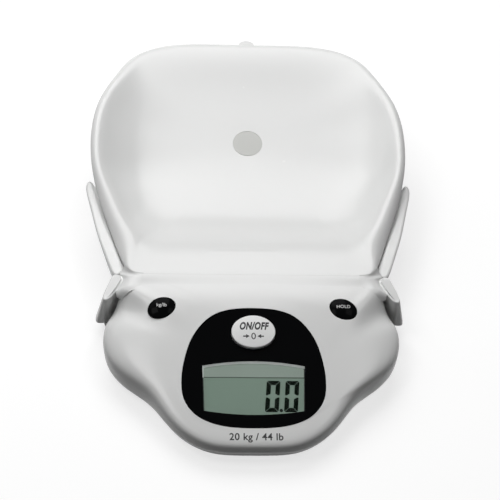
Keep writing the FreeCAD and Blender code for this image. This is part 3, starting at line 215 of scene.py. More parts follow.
# One material for each slot of the record
MATERIALS = {
    "white_shell": surface("white_shell", (0.836, 0.84, 0.832), (0.844, 0.848, 0.841), (0.265, 0.275),
                           tone_scale=3.0, tone_detail=0.0, rough_scale=9.0,
                           grain=(420.0, 0.02, 0.0003)),
    "black_gloss": surface("black_gloss", (0.0012, 0.0014, 0.0018), (0.0018, 0.002, 0.0024),
                           (0.06, 0.11), specular=0.02, grain=(260.0, 0.02, 0.0003)),
    "button_white": surface("button_white", (0.9, 0.905, 0.9), (0.915, 0.92, 0.912), (0.3, 0.38),
                            grain=(900.0, 0.05, 0.0002)),
    "plug_grey": surface("plug_grey", (0.6, 0.605, 0.58), (0.63, 0.635, 0.61), (0.38, 0.48),
                         grain=(1400.0, 0.1, 0.0002)),
    "lens_clear": lens_material(),
    "lcd_grey": surface("lcd_grey", (0.4, 0.46, 0.42), (0.415, 0.475, 0.435), (0.3, 0.36),
                        specular=0.25),
    "frame_black": surface("frame_black", (0.012, 0.012, 0.013), (0.02, 0.02, 0.02), (0.5, 0.6),
                           grain=(1200.0, 0.15, 0.0002)),
    "rubber_black": surface("rubber_black", (0.022, 0.022, 0.022), (0.035, 0.035, 0.034), (0.7, 0.85),
                            specular=0.3, grain=(900.0, 0.3, 0.0003)),
    "cell_aluminium": surface("cell_aluminium", (0.7, 0.71, 0.72), (0.76, 0.77, 0.78), (0.25, 0.38),
                              metallic=1.0, stretch=(30.0, 1.0, 30.0), tone_scale=60.0,
                              grain=(60.0, 0.1, 0.0002)),
    "plate_aluminium": surface("plate_aluminium", (0.55, 0.56, 0.57), (0.62, 0.63, 0.64), (0.4, 0.55),
                               metallic=1.0, grain=(700.0, 0.25, 0.0003)),
    "steel": surface("steel", (0.58, 0.58, 0.57), (0.68, 0.68, 0.67), (0.25, 0.4), metallic=1.0,
                     grain=(1500.0, 0.15, 0.0002)),
    "board_green": surface("board_green", (0.02, 0.13, 0.05), (0.035, 0.18, 0.075), (0.25, 0.4),
                           grain=(500.0, 0.1, 0.0002)),
    "resin_black": surface("resin_black", (0.01, 0.01, 0.011), (0.02, 0.02, 0.02), (0.2, 0.35),
                           grain=(300.0, 0.2, 0.0004)),
    "switch_black": surface("switch_black", (0.03, 0.03, 0.03), (0.05, 0.05, 0.05), (0.4, 0.5),
                            grain=(900.0, 0.1, 0.0002)),
    "battery_skin": surface("battery_skin", (0.07, 0.08, 0.1), (0.12, 0.13, 0.14), (0.2, 0.3),
                            grain=(500.0, 0.05, 0.0002)),
    "lead_grey": surface("lead_grey", (0.2, 0.2, 0.21), (0.27, 0.27, 0.28), (0.5, 0.6),
                         grain=(900.0, 0.2, 0.0003)),
}
# Print, the layers of the display, and painted light on it: a shadow line and the glint of the
# window's bevel
LCD_INK = surface("lcd_ink", (0.001, 0.004, 0.002), (0.002, 0.006, 0.003), (0.5, 0.6), specular=0.0)
LCD_FILM = surface("lcd_film", (0.287, 0.374, 0.318), (0.297, 0.384, 0.328), (0.3, 0.36),
                   specular=0.25)
# Painted shadow: the dark line along the film's upper edge
LCD_PAINTED_SHADOW = surface("lcd_painted_shadow", (0.078, 0.1, 0.082), (0.086, 0.11, 0.09), (0.4, 0.5), specular=0.25)
DARK_INK = surface("dark_ink", (0.02, 0.02, 0.022), (0.035, 0.035, 0.037), (0.4, 0.5), specular=0.3)
WHITE_INK = surface("white_ink", (0.62, 0.63, 0.63), (0.7, 0.7, 0.7), (0.4, 0.5), specular=0.3)
# The window's bevel, in a pale colour that paints the glint on the lens's edge
LENS_PAINTED_GLINT = surface("lens_painted_glint", (0.9, 0.93, 0.92), (0.94, 0.96, 0.95), (0.2, 0.3))


def dress_nodes():
    """Every CAD node takes its slot's material."""
    for part in frame["record"]["subparts"]:
        node = nodes[part["node"]]
        node.data.materials.clear()
        node.data.materials.append(MATERIALS[part["material_slot"]])


# ---- Mesh helpers ----
SHARP_ANGLE = math.radians(35)
ABOVE = 100.0               # a height over the whole scale, where rays start
DOWN = (0.0, 0.0, -1.0)
LEFTWARD = (-1.0, 0.0, 0.0)
RIGHTWARD = (1.0, 0.0, 0.0)
SKIN = 0.01                 # how far a skin's edge lies under the face that it runs into


def mesh_piece(name, bm, material, body=None, smooth=True):
    """Makes a piece from bm, which rides on a body if one is named."""
    mesh = bpy.data.meshes.new(name)
    bmesh.ops.recalc_face_normals(bm, faces=bm.faces)
    bm.to_mesh(mesh)
    bm.free()
    if smooth:
        mesh.shade_smooth()
        mesh.set_sharp_from_angle(angle=SHARP_ANGLE)
    mesh.materials.append(material)
    piece = bpy.data.objects.new(name, mesh)
    bpy.context.scene.collection.objects.link(piece)
    if body:
        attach(piece, body)
    return piece


def shell_piece(name, bm, body):
    """A smooth piece of the shell's own plastic."""
    mesh_piece(name, bm, MATERIALS["white_shell"], body)


def add_tube(bm, rings):
    """A closed tube through rings of vertices, each with as many as the next."""
    for a, b in zip(rings, rings[1:]):
        for j in range(len(a)):
            following = (j + 1) % len(a)
            bm.faces.new((a[j], b[j], b[following], a[following]))
    bm.faces.new(rings[0])
    bm.faces.new(rings[-1])


def add_prism(bm, outline, low, high):
    """A prism over an outline on the panel, between two heights of the panel's frame."""
    add_tube(bm, [[bm.verts.new(on_panel(u, v, n)) for u, v in outline] for n in (low, high)])


def add_sheet(bm, grid):
    """Faces over a grid of vertices."""
    for a, b in zip(grid, grid[1:]):
        for k in range(len(a) - 1):
            bm.faces.new((a[k], b[k], b[k + 1], a[k + 1]))


def add_slab(bm, upper, lower):
    """A closed slab between two grids of points in mm."""
    sheets = [[[bm.verts.new(point * MM) for point in row] for row in grid] for grid in (upper, lower)]
    for sheet in sheets:
        add_sheet(bm, sheet)
    rims = [sheet[0] + [row[-1] for row in sheet[1:]] + sheet[-1][-2::-1]
            + [row[0] for row in sheet[-2:0:-1]] for sheet in sheets]
    for k in range(len(rims[0])):
        following = (k + 1) % len(rims[0])
        bm.faces.new((rims[0][k], rims[0][following], rims[1][following], rims[1][k]))


def mirrored(points, side):
    """Points in mm as they are on the right, where side is 1, or on the left, where it is -1."""
    return [Vector((side * p.x, p.y, p.z)) for p in points]


def ease(t):
    """From 0 to 1 with a level start and end."""
    return t * t * (3 - 2 * t)


def tree_of(node):
    """A node's mesh, ready for ray casts."""
    mesh = nodes[node].data
    return BVHTree.FromPolygons([v.co for v in mesh.vertices], [p.vertices for p in mesh.polygons])


def cast(tree, start, direction):
    """Where a ray meets a node's mesh; start and the result are in mm."""
    return tree.ray_cast(start * MM, Vector(direction))[0] / MM


def face_height(tree, x, y):
    """The height of a node's upper face at x, y."""
    return cast(tree, Vector((x, y, ABOVE)), DOWN).z


# ---- Display ----
GLASS_N = -1.8              # top of the display glass; below, from foot to top, ink, film and painted shadow line
INK_SPAN = (GLASS_N + 0.02, GLASS_N + 0.05)
FILM_SPAN = (GLASS_N - 0.02, GLASS_N + 0.01)
SHADOW_LINE_SPAN = (GLASS_N - 0.02, GLASS_N + 0.025)

DIGIT_SLANT = 0.08
DIGIT_WIDTH = 12.2
DIGIT_HEIGHT = 29.4
DIGIT_STROKE = 4.0
DIGIT_LEFTS = (9.3, 26.2)
DIGIT_FOOT = -42.7
MITRE_GAP = 0.2             # from a bar's end to the mitre line
MIDDLE_GAP = 0.9            # from an upright bar's end to the digit's middle
CHAMFER = 1.1               # at a digit's outer corners
TIP_ACROSS = 1.2            # place across an upright bar of its tip at the digit's middle
TIP_INNER = 1.6             # the bar's inner edge ends this far short of the tip
TIP_OUTER = 0.4             # and its outer edge this far
POINT_RADIUS = 1.55
POINT_SIDES = 12

SCREEN_HALF = 46.0          # the window's half width, its upper corners' height and its bow
SCREEN_HIGH = 0.2
SCREEN_BOW = 4.6
BOW_STEPS = 16
FILM_TOP = -10.8            # upper edge of the film behind the digits
FILM_FOOT = -42.6           # height of its lower corners, and the bow between them
FILM_BOW = -3.7
SHADOW_LINE_HEIGHT = 0.95          # painted shadow: a dark line along the film's upper edge, and its lap over the film
SHADOW_LINE_LAP = 0.1
BEVEL_WIDTH = 1.8           # bevel along the window's upper edge, pale for a painted glint
BEVEL_SIDE_WIDTH = 1.08     # and along its left edge
BEVEL_INSET = 0.15
BEVEL_HIGH = -0.02          # n at the window's edge, and under the bevel
BEVEL_LOW = -1.7
BEVEL_EDGE = 0.02           # thickness that is left at the bevel's inner edge


def add_zero(bm, left):
    """A zero of six bars with mitred ends, which leans to the right."""
    right = left + DIGIT_WIDTH
    top = DIGIT_FOOT + DIGIT_HEIGHT
    middle = DIGIT_FOOT + DIGIT_HEIGHT / 2
    outer = CHAMFER + MITRE_GAP
    halfway = CHAMFER / 2 + MITRE_GAP
    inner = DIGIT_STROKE + MITRE_GAP

    def across(v, up):
        """A level bar whose outer edge is at v; up is 1 where it thickens upwards, or -1."""
        bend = v + up * CHAMFER / 2
        far = v + up * DIGIT_STROKE
        return [(left + outer, v), (right - outer, v), (right - halfway, bend), (right - inner, far),
                (left + inner, far), (left + halfway, bend)]

    def upright(u, inward, end, away):
        """A bar whose outer edge is at u, from the middle to end; away is 1 upwards, or -1."""
        far = u + inward * DIGIT_STROKE
        return [(u, end - away * outer), (u + inward * CHAMFER / 2, end - away * halfway),
                (far, end - away * inner), (far, middle + away * (MIDDLE_GAP + TIP_INNER)),
                (u + inward * TIP_ACROSS, middle + away * MIDDLE_GAP),
                (u, middle + away * (MIDDLE_GAP + TIP_OUTER))]

    for bar in (across(top, -1), upright(right, -1, top, 1), upright(right, -1, DIGIT_FOOT, -1),
                across(DIGIT_FOOT, 1), upright(left, 1, DIGIT_FOOT, -1), upright(left, 1, top, 1)):
        add_prism(bm, [(u + (v - DIGIT_FOOT) * DIGIT_SLANT, v) for u, v in bar], *INK_SPAN)


def add_bevel(bm, outer, inner):
    """A strip that slopes down from the outer line to the inner one."""
    tops = [bm.verts.new(on_panel(u, v, BEVEL_HIGH)) for u, v in outer]
    feet = [bm.verts.new(on_panel(u, v, BEVEL_LOW + BEVEL_EDGE)) for u, v in inner]
    roots = [bm.verts.new(on_panel(u, v, BEVEL_LOW)) for u, v in outer]
    for k in range(len(outer) - 1):
        bm.faces.new((tops[k], tops[k + 1], feet[k + 1], feet[k]))
        bm.faces.new((feet[k], feet[k + 1], roots[k + 1], roots[k]))
        bm.faces.new((roots[k], roots[k + 1], tops[k + 1], tops[k]))


def bowed(half, corner, bow):
    """Points along a bowed edge from left to right."""
    places = [half * (2 * k / BOW_STEPS - 1) for k in range(BOW_STEPS + 1)]
    return [(u, corner + bow * (1 - (u / half) ** 2)) for u in places]


def make_digits():
    """The lit 0.0 of the display."""
    bm = bmesh.new()
    for left in DIGIT_LEFTS:
        add_zero(bm, left)
    middle = (DIGIT_LEFTS[0] + DIGIT_WIDTH + DIGIT_LEFTS[1]) / 2
    turns = [2 * math.pi * k / POINT_SIDES for k in range(POINT_SIDES)]
    point = [(middle + POINT_RADIUS * math.cos(a), DIGIT_FOOT + POINT_RADIUS * (1 + math.sin(a)))
             for a in turns]
    add_prism(bm, point, *INK_SPAN)
    mesh_piece("lcd_digits", bm, LCD_INK, "base", smooth=False)


def make_film():
    """The darker film behind the digits, and a dark line along its upper edge that paints the shadow
    there.
    """
    film = bmesh.new()
    corners = [(SCREEN_HALF, FILM_TOP), (-SCREEN_HALF, FILM_TOP)]
    add_prism(film, bowed(SCREEN_HALF, FILM_FOOT, FILM_BOW) + corners, *FILM_SPAN)
    mesh_piece("lcd_film", film, LCD_FILM, "base", smooth=False)
    line = bmesh.new()
    low = FILM_TOP - SHADOW_LINE_LAP
    high = FILM_TOP + SHADOW_LINE_HEIGHT
    add_prism(line, [(-SCREEN_HALF, low), (SCREEN_HALF, low), (SCREEN_HALF, high),
                     (-SCREEN_HALF, high)], *SHADOW_LINE_SPAN)
    mesh_piece("lcd_film_painted_shadow", line, LCD_PAINTED_SHADOW, "base", smooth=False)


# A real bevel along the window's upper and left edges, whose pale colour is a painted glint
def make_lens_bevel():
    bm = bmesh.new()
    half = SCREEN_HALF - BEVEL_INSET
    corner = SCREEN_HIGH - BEVEL_INSET
    add_bevel(bm, bowed(half, corner, SCREEN_BOW), bowed(half, corner - BEVEL_WIDTH, SCREEN_BOW))
    add_bevel(bm, [(-half, FILM_TOP), (-half, corner)],
              [(BEVEL_SIDE_WIDTH - half, FILM_TOP), (BEVEL_SIDE_WIDTH - half, corner)])
    mesh_piece("lens_bevel", bm, LENS_PAINTED_GLINT, "base", smooth=False)


# ---- Legends ----
POWER_PLACE = (0.0, 32.3)       # u and v on the panel
POWER_WORDS_RISE = 4.6          # of its words and of the zero between arrows under them
POWER_ZERO_RISE = -5.2
SIDE_WORDS_RISE = 1.0           # over the middle of a side key
CAPACITY_PLACE = (1.5, -66.2)
LETTER_SPACING = 0.35           # more space between letters for each mm that bold adds
LONGEST_EDGE = 0.8
SPLITS = 6                      # halvings that bring every edge under that
LEGEND_LIFT = 0.04              # from the face under it
CURVE_STEPS = 6
RING_STEPS = 28
WING = 0.62                     # half the width of an arrow's head, as a share of its length
DROP_FROM = 40.0                # height over the panel that artwork is dropped from


def text_mesh(words, size, slant=0.0, bold=0.0, tall=1.0):
    """The words as flat artwork in mm, centred; bold thickens the strokes, tall stretches them."""
    curve = bpy.data.curves.new("words", "FONT")
    curve.body = words
    curve.size = size
    curve.shear = slant
    curve.offset = bold
    curve.align_x = "CENTER"
    curve.align_y = "CENTER"
    curve.resolution_u = CURVE_STEPS
    curve.space_character = 1.0 + LETTER_SPACING * bold
    holder = bpy.data.objects.new("words", curve)
    bpy.context.scene.collection.objects.link(holder)
    bpy.context.view_layer.update()
    mesh = bpy.data.meshes.new_from_object(holder)
    bpy.data.objects.remove(holder)
    bm = bmesh.new()
    bm.from_mesh(mesh)
    bpy.data.meshes.remove(mesh)
    bmesh.ops.scale(bm, vec=(1.0, tall, 1.0), verts=bm.verts)
    return bm


def shorten_edges(bm):
    """Splits flat artwork into triangles small enough to follow a curved face."""
    bmesh.ops.triangulate(bm, faces=bm.faces)
    for _ in range(SPLITS):
        long_edges = [e for e in bm.edges if e.calc_length() > LONGEST_EDGE]
        if not long_edges:
            break
        bmesh.ops.subdivide_edges(bm, edges=long_edges, cuts=1)
        bmesh.ops.triangulate(bm, faces=[f for f in bm.faces if len(f.verts) > 3])


def lay_on(bm, node, u, v):
    """Drops flat artwork on to a node along the panel's normal, with its middle at u, v."""
    shorten_edges(bm)
    tree = tree_of(node)
    for vert in bm.verts:
        start = on_panel(u + vert.co.x, v + vert.co.y, DROP_FROM)
        hit, normal, _, _ = tree.ray_cast(start, -PANEL_NORMAL)
        vert.co = hit + normal * (LEGEND_LIFT * MM)


def add_arrow(bm, tail, tip, thick, head):
    """A flat arrow along x, from tail to tip."""
    sign = 1 if tip > tail else -1
    neck = tip - sign * head
    wing = head * WING
    points = [(tail, -thick / 2), (neck, -thick / 2), (neck, -wing), (tip, 0.0), (neck, wing),
              (neck, thick / 2), (tail, thick / 2)]
    bm.faces.new([bm.verts.new((x, y, 0.0)) for x, y in points])


def add_ring(bm, half_width, half_height, stroke):
    """A flat oval ring about the origin."""
    outer = []
    inner = []
    for i in range(RING_STEPS):
        x = math.cos(2 * math.pi * i / RING_STEPS)
        y = math.sin(2 * math.pi * i / RING_STEPS)
        outer.append(bm.verts.new((half_width * x, half_height * y, 0.0)))
        inner.append(bm.verts.new(((half_width - stroke) * x, (half_height - stroke) * y, 0.0)))
    for i in range(RING_STEPS):
        j = (i + 1) % RING_STEPS
        bm.faces.new((outer[i], outer[j], inner[j], inner[i]))


def merged(*parts):
    """One mesh from several, each with the height that it is raised by."""
    whole = bmesh.new()
    for bm, rise in parts:
        spare = bpy.data.meshes.new("spare")
        bmesh.ops.translate(bm, verts=bm.verts, vec=(0.0, rise, 0.0))
        bm.to_mesh(spare)
        bm.free()
        whole.from_mesh(spare)
        bpy.data.meshes.remove(spare)
    return whole


def make_power_legend():
    """ON/OFF over a zero between two arrows."""
    words = text_mesh("ON/OFF", 6.6, slant=0.25, bold=0.32, tall=1.5)
    zero = bmesh.new()
    add_ring(zero, half_width=2.1, half_height=3.2, stroke=1.0)
    for side in (-1, 1):
        add_arrow(zero, tail=side * 9.4, tip=side * 3.6, thick=1.2, head=3.2)
    legend = merged((words, POWER_WORDS_RISE), (zero, POWER_ZERO_RISE))
    lay_on(legend, "power_button", *POWER_PLACE)
    mesh_piece("power_legend", legend, DARK_INK, "power_button", smooth=False)


def make_side_legends():
    for words, size, button in (("kg/lb", 4.9, "left_button"), ("HOLD", 4.6, "right_button")):
        legend = text_mesh(words, size, bold=0.08)
        low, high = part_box(button)
        u, v = panel_place((low + high) / 2)
        lay_on(legend, button, u, v + SIDE_WORDS_RISE)
        mesh_piece(button + "_legend", legend, WHITE_INK, button, smooth=False)


def make_capacity_legend():
    legend = text_mesh("20 kg / 44 lb", 8.8, bold=0.16)
    lay_on(legend, "console_cover", *CAPACITY_PLACE)
    mesh_piece("capacity_legend", legend, DARK_INK, "base", smooth=False)


# ---- Tray ----
RIDGE_LEFT = -44.0
RIDGE_LENGTH = 75.0
RIDGE_Y = -50.0
RIDGE_HALF = 3.4
RIDGE_RISE = 0.28
RIDGE_SINK = 0.03           # its edges lie this far under the tray's face
RIDGE_TAPER = 8             # it fades out over an eighth of its length at each end
RIDGE_END = 0.02            # share of its rise that is left there
RIDGE_COLUMNS = 30
RIDGE_ROWS = 4


def make_tray_ridge():
    """The faint moulded step across the tray's front band."""
    tree = tree_of("tray")
    bm = bmesh.new()
    grid = []
    for i in range(RIDGE_COLUMNS + 1):
        share = i / RIDGE_COLUMNS
        x = RIDGE_LEFT + RIDGE_LENGTH * share
        rise = RIDGE_RISE * min(1.0, RIDGE_TAPER * min(share, 1 - share) + RIDGE_END)
        column = []
        for j in range(RIDGE_ROWS + 1):
            t = 2 * j / RIDGE_ROWS - 1
            y = RIDGE_Y + t * RIDGE_HALF
            z = face_height(tree, x, y) + rise * (1 - t * t) - RIDGE_SINK
            column.append(bm.verts.new(Vector((x, y, z)) * MM))
        grid.append(column)
    add_sheet(bm, grid)
    shell_piece("tray_ridge", bm, "platform")


# ---- Slit between tray and console ----
SEAM_Y = -79.98             # middle of the slit
SLIT_HALF = 0.06
EDGE_Z = 60.44              # the tray's edge there, which the console's lip rises to
LIP_HALF = 102.0
LIP_DEPTH = 2.5
LIP_STEPS = 8
LIP_COLUMNS = 60
CONSOLE_LIP = 14.0          # width of the console's lip and of the tray's
TRAY_LIP = 2.0


def make_seam_lips():
    """Crisp lips over the rounded edges on both sides of the slit, flush with each other."""
    for name, node, body, away, width in (("seam_lip", "console_cover", "base", -1, CONSOLE_LIP),
                                          ("tray_lip", "tray", "platform", 1, TRAY_LIP)):
        tree = tree_of(node)
        near = SEAM_Y + away * SLIT_HALF
        far = near + away * width
        bm = bmesh.new()
        rings = []
        for k in range(LIP_COLUMNS + 1):
            x = LIP_HALF * (2 * k / LIP_COLUMNS - 1)
            back = face_height(tree, x, far)
            profile = [(near, EDGE_Z - LIP_DEPTH)]
            for step in range(LIP_STEPS + 1):
                t = step / LIP_STEPS
                profile.append((near + away * width * t, EDGE_Z + (back - SKIN - EDGE_Z) * ease(t)))
            profile.append((far, back - LIP_DEPTH))
            rings.append([bm.verts.new(Vector((x, y, z)) * MM) for y, z in profile])
        add_tube(bm, rings)
        shell_piece(name, bm, body)


# ---- Corners between tray, arm, ear and console ----
# A web's outer edge, from the tray's corner along arm and ear: share of the way, x, y and height
WEB_EDGE = [(0.0, 120.3, -67.3, 58.4), (0.12, 124.4, -70.6, 51.6), (0.24, 124.7, -75.2, 53.5),
            (0.36, 121.6, -80.5, 53.85), (0.47, 121.6, -84.5, 53.9), (0.58, 123.3, -88.4, 53.9),
            (0.69, 125.3, -92.4, 53.8), (0.8, 127.3, -96.2, 53.4), (0.9, 126.6, -99.5, 51.8),
            (1.0, 120.8, -102.0, 50.0)]
# Its edge on the console is a curve with these three control points
WEB_REACH = [(LIP_HALF, SEAM_Y - SLIT_HALF - CONSOLE_LIP), (112.0, -99.0), (120.8, -102.0)]
WEB_CENTRE = Vector((103.5, -60.0, 58.0))       # the tray's corner turns about this
WEB_TURN_FROM = -94.0       # direction of its first point from there, in degrees, and the turn
WEB_TURN = 70.0
WEB_GAP = 0.12              # to the tray's wall
WEB_INSIDE = 0.9            # the tray's height is felt this far inside its wall, and further
WEB_INSIDE_MORE = 0.6       # towards the corner's end
WEB_BELOW_TRAY = 0.05       # the web lies this far under the tray's edge
WEB_DEPTH = 3.0
WEB_ROWS = 20
WEB_COLUMNS = 20
WEB_CAST = 60.0             # from the centre to where rays start, outside the tray


def make_corner_webs():
    """Webs of the console that fill the corners between tray, arm and ear, one on each side."""
    console, tray = tree_of("console_cover"), tree_of("tray")

    def tray_side(s):
        """Just outside the tray's corner, level with its edge."""
        if s == 0:
            return Vector((LIP_HALF, SEAM_Y - SLIT_HALF, EDGE_Z))
        angle = math.radians(WEB_TURN_FROM + WEB_TURN * s)
        out = Vector((math.cos(angle), math.sin(angle), 0.0))
        wall = cast(tray, WEB_CENTRE + out * WEB_CAST, -out)
        edge = wall + out * WEB_GAP
        inside = wall - out * (WEB_INSIDE + WEB_INSIDE_MORE * s)
        return Vector((edge.x, edge.y, face_height(tray, inside.x, inside.y) - WEB_BELOW_TRAY))

    def console_side(s):
        """On the console's face, from the end of its lip to beside the ear."""
        (ax, ay), (bx, by), (cx, cy) = WEB_REACH
        x = (1 - s) ** 2 * ax + 2 * s * (1 - s) * bx + s * s * cx
        y = (1 - s) ** 2 * ay + 2 * s * (1 - s) * by + s * s * cy
        return Vector((x, y, face_height(console, x, y) - SKIN))

    def outer_side(t):
        """On the web's outer edge."""
        for (t0, *low), (t1, *high) in zip(WEB_EDGE, WEB_EDGE[1:]):
            if t <= t1:
                return Vector(low).lerp(Vector(high), (t - t0) / (t1 - t0))

    def ruled(s, t):
        """Between the tray's side and the console's, before the outer edge is drawn out."""
        first, last = tray_side(s), console_side(s)
        point = first.lerp(last, t)
        point.z = first.z + (last.z - first.z) * ease(t)
        return point

    pulls = [outer_side(k / WEB_ROWS) - ruled(1.0, k / WEB_ROWS) for k in range(WEB_ROWS + 1)]
    pulls[0] = pulls[-1] = Vector()     # the ends stay on the tray's corner and the console
    grid = [[ruled(c / WEB_COLUMNS, k / WEB_ROWS) + pulls[k] * (c / WEB_COLUMNS) ** 2
             for k in range(WEB_ROWS + 1)] for c in range(WEB_COLUMNS + 1)]
    floor = [[point - Vector((0.0, 0.0, WEB_DEPTH)) for point in column] for column in grid]
    bm = bmesh.new()
    for side in (-1, 1):
        add_slab(bm, [mirrored(column, side) for column in grid],
                 [mirrored(column, side) for column in floor])
    shell_piece("corner_webs", bm, "base")


# ---- Arms ----
ARM_LIP_FROM = -69.0        # an arm's lip runs over this stretch of y
ARM_LIP_TO = 42.0
ARM_LIP_SLIT = 0.3
ARM_LIP_STEPS = 36
ARM_LOW = 50.95             # height of an arm's top at the lip's front end
ARM_RISE = 0.0454           # slope of that top towards the back
# The tray's wall is felt this far under the arm's top; the first is over it, as the tray can sink
ARM_LIP_FEEL = (-0.8, 0.4, 1.6, 2.8)
ARM_FACE_FEEL = 0.8         # the arm's inner face is felt this far under its top
ARM_TOP_FEEL = 2.6          # the arm's top is felt this far inside its inner face
# The lip's outline: x from the slit, then x from the arm's inner face, with z from the arm's top
ARM_LIP_EDGE = [(0.0, -2.5), (0.0, -0.9), (0.4, -0.5)]
ARM_LIP_LAP = [(0.2, -0.3), (1.8, -0.03), (1.8, -2.5)]
OUTSIDE = 170.0             # an x outside the scale, where rays start


def arm_lip_sections():
    """The right lip's outlines from front to back, as points of x, y and z."""
    tray, arm = tree_of("tray"), tree_of("right_arm")
    sections = []
    for k in range(ARM_LIP_STEPS + 1):
        y = ARM_LIP_FROM + (ARM_LIP_TO - ARM_LIP_FROM) * k / ARM_LIP_STEPS
        level = ARM_LOW + ARM_RISE * (y - ARM_LIP_FROM)
        wall = max(cast(tray, Vector((OUTSIDE, y, level - drop)), LEFTWARD).x
                   for drop in ARM_LIP_FEEL)
        inner = cast(arm, Vector((wall, y, level - ARM_FACE_FEEL)), RIGHTWARD).x
        top = face_height(arm, inner + ARM_TOP_FEEL, y)
        edge = wall + ARM_LIP_SLIT
        profile = [(edge + x, z) for x, z in ARM_LIP_EDGE] + [(inner + x, z) for x, z in ARM_LIP_LAP]
        sections.append([Vector((x, y, top + z)) for x, z in profile])
    return sections


def make_arm_lips():
    """Lips on the arms' inner edges, which close the gap to the tray down to a fine slit."""
    sections = arm_lip_sections()
    bm = bmesh.new()
    for side in (-1, 1):
        add_tube(bm, [[bm.verts.new(point * MM) for point in mirrored(section, side)]
                      for section in sections])
    shell_piece("arm_lips", bm, "base")


# ---- Ears ----
# Inner and outer edges of an ear's top, from back to tip
EAR_INNER = [(124.2, -77.6), (122.4, -82.6), (125.1, -89.9), (129.1, -97.9), (133.3, -104.4)]
EAR_OUTER = [(129.4, -76.7), (132.3, -82.0), (134.6, -89.9), (136.8, -98.3), (137.2, -105.2)]
EAR_Z = 53.95
EAR_RISE = 1.7
EAR_RIDGE = 0.1             # the ridge's place across the ear, from its inner edge
EAR_BACK_TAPER = 4.0        # the rise is full after a quarter of the length from the back
EAR_TIP_TAPER = 3.2         # and until about a third before the tip
EAR_ROUNDING = 0.6          # below 1, the rise starts steeply and rounds off
EAR_SKIRT = 0.3             # how far a crown reaches down into its ear
EAR_ROWS = 24
EAR_COLUMNS = 10


def along(points, share):
    """The point at a share of a polyline's corners."""
    place = share * (len(points) - 1)
    k = min(int(place), len(points) - 2)
    return Vector(points[k]).lerp(Vector(points[k + 1]), place - k)


def ear_crown(t):
    """The crown's height across an ear, from 0 to 1: a quarter of a sine, then a straight slope."""
    if t < EAR_RIDGE:
        return math.sin(math.pi / 2 * t / EAR_RIDGE)
    return (1 - t) / (1 - EAR_RIDGE)


def make_ear_ridges():
    """Crowns on the ears: a ridge near the inner edge with a long slope outwards."""
    crown = []
    for i in range(EAR_ROWS + 1):
        s = i / EAR_ROWS
        low, high = along(EAR_INNER, s), along(EAR_OUTER, s)
        rise = EAR_RISE * min(1.0, EAR_BACK_TAPER * s, EAR_TIP_TAPER * (1 - s)) ** EAR_ROUNDING
        row = []
        for j in range(EAR_COLUMNS + 1):
            t = j / EAR_COLUMNS
            row.append(Vector((*low.lerp(high, t), EAR_Z + rise * ear_crown(t))))
        crown.append(row)
    floor = [[Vector((p.x, p.y, EAR_Z - EAR_SKIRT)) for p in row] for row in crown]
    bm = bmesh.new()
    for side in (-1, 1):
        add_slab(bm, [mirrored(row, side) for row in crown], [mirrored(row, side) for row in floor])
    shell_piece("ear_ridges", bm, "base")


# ---- Load cell ----
BAR_PARTS = 8


def make_load_cell_bar():
    """The load cell as a bar, cut into parts across its length between its spacers."""
    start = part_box("lower_spacer")[1].y
    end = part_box("upper_spacer")[0].y
    bm = bmesh.new()
    bm.from_mesh(nodes["load_cell"].data)
    for k in range(1, BAR_PARTS):
        plane = Vector((0.0, start + (end - start) * k / BAR_PARTS, 0.0))
        bmesh.ops.bisect_plane(bm, geom=bm.verts[:] + bm.edges[:] + bm.faces[:], plane_co=plane,
                               plane_no=(0.0, 1.0, 0.0))
    bar = mesh_piece("load_cell_bar", bm, MATERIALS["cell_aluminium"])
    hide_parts("load_cell")
    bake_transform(bar)


# ---- Floor, world and lamps ----
FLOOR_HALF = 12.0
FLOOR_TONE = 0.4            # as the camera and mirrors see it, with a glow that makes it white
FLOOR_GLOW = 0.72
FLOOR_BOUNCE = 0.1          # its tone for the light that it throws back on the part
WORLD_SEEN = 1.0            # strength of the white background
WORLD_FILL = 0.0            # the lamps alone light the part
LAMP_AIM = Vector((0.0, 0.0, 0.05))
# Name, place, width, depth and watts
LAMPS = (("back", (-0.1, 1.02, 1.58), 1.3, 1.1, 19.8), ("key", (-1.0, 0.8, 1.3), 1.0, 1.0, 5.0),
         ("left", (-0.78, -0.1, 1.64), 0.6, 0.6, 5.4), ("right", (0.82, -0.1, 1.64), 0.6, 0.6, 2.9))


def seen_switch(tree, seen, unseen, output):
    """seen for camera, glossy and transmission rays, unseen for the light that falls on the part."""
    path = tree.nodes.new("ShaderNodeLightPath")
    total = path.outputs["Is Camera Ray"]
    for name in ("Is Glossy Ray", "Is Transmission Ray"):
        add = tree.nodes.new("ShaderNodeMath")
        add.operation = "MAXIMUM"
        tree.links.new(total, add.inputs[0])
        tree.links.new(path.outputs[name], add.inputs[1])
        total = add.outputs["Value"]
    mix = tree.nodes.new("ShaderNodeMixShader")
    tree.links.new(total, mix.inputs["Fac"])
    tree.links.new(unseen, mix.inputs[1])
    tree.links.new(seen, mix.inputs[2])
    tree.links.new(mix.outputs["Shader"], output.inputs["Surface"])


def matt(tree, tone):
    """A plain diffuse grey."""
    shader = tree.nodes.new("ShaderNodeBsdfDiffuse")
    shader.inputs["Color"].default_value = (tone, tone, tone, 1.0)
    return shader.outputs["BSDF"]


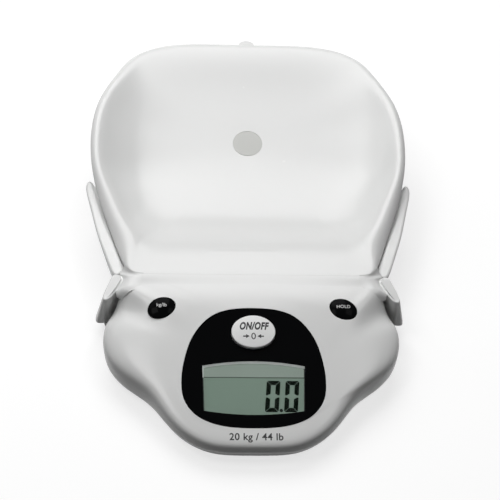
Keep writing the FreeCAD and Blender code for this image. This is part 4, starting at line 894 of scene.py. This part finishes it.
def floor_material():
    """White to the eye, with the part's shadow on it, and dim to the part itself."""
    material, tree, principled = new_material("floor")
    tree.nodes.remove(principled)
    glow = tree.nodes.new("ShaderNodeEmission")
    glow.inputs["Strength"].default_value = FLOOR_GLOW
    both = tree.nodes.new("ShaderNodeAddShader")
    tree.links.new(matt(tree, FLOOR_TONE), both.inputs[0])
    tree.links.new(glow.outputs["Emission"], both.inputs[1])
    seen_switch(tree, both.outputs["Shader"], matt(tree, FLOOR_BOUNCE), tree.nodes["Material Output"])
    return material


def make_floor():
    bm = bmesh.new()
    corners = ((-1, -1), (1, -1), (1, 1), (-1, 1))
    bm.faces.new([bm.verts.new((x * FLOOR_HALF, y * FLOOR_HALF, 0.0)) for x, y in corners])
    mesh = bpy.data.meshes.new("floor")
    bm.to_mesh(mesh)
    bm.free()
    mesh.materials.append(floor_material())
    floor = bpy.data.objects.new("floor", mesh)
    bpy.context.scene.collection.objects.link(floor)


def make_world():
    world = bpy.data.worlds.new("world")
    bpy.context.scene.world = world
    world.use_nodes = True
    tree = world.node_tree
    white = tree.nodes["Background"]
    white.inputs["Color"].default_value = WHITE
    white.inputs["Strength"].default_value = WORLD_SEEN
    fill = tree.nodes.new("ShaderNodeBackground")
    fill.inputs["Color"].default_value = WHITE
    fill.inputs["Strength"].default_value = WORLD_FILL
    seen_switch(tree, white.outputs["Background"], fill.outputs["Background"],
                tree.nodes["World Output"])


def make_lamps():
    """Softboxes that all face the scale."""
    for name, place, width, depth, watts in LAMPS:
        lamp = bpy.data.lights.new(name, "AREA")
        lamp.shape = "RECTANGLE"
        lamp.size = width
        lamp.size_y = depth
        lamp.energy = watts
        holder = bpy.data.objects.new(name, lamp)
        holder.location = place
        aim = LAMP_AIM - Vector(place)
        holder.rotation_euler = aim.to_track_quat("-Z", "Y").to_euler()
        bpy.context.scene.collection.objects.link(holder)


make_camera()
dress_nodes()
make_digits()
make_film()
make_lens_bevel()
make_power_legend()
make_side_legends()
make_capacity_legend()
make_tray_ridge()
make_seam_lips()
make_corner_webs()
make_arm_lips()
make_ear_ridges()
make_load_cell_bar()
make_floor()
make_world()
make_lamps()
bpy.context.scene.view_settings.view_transform = "Standard"
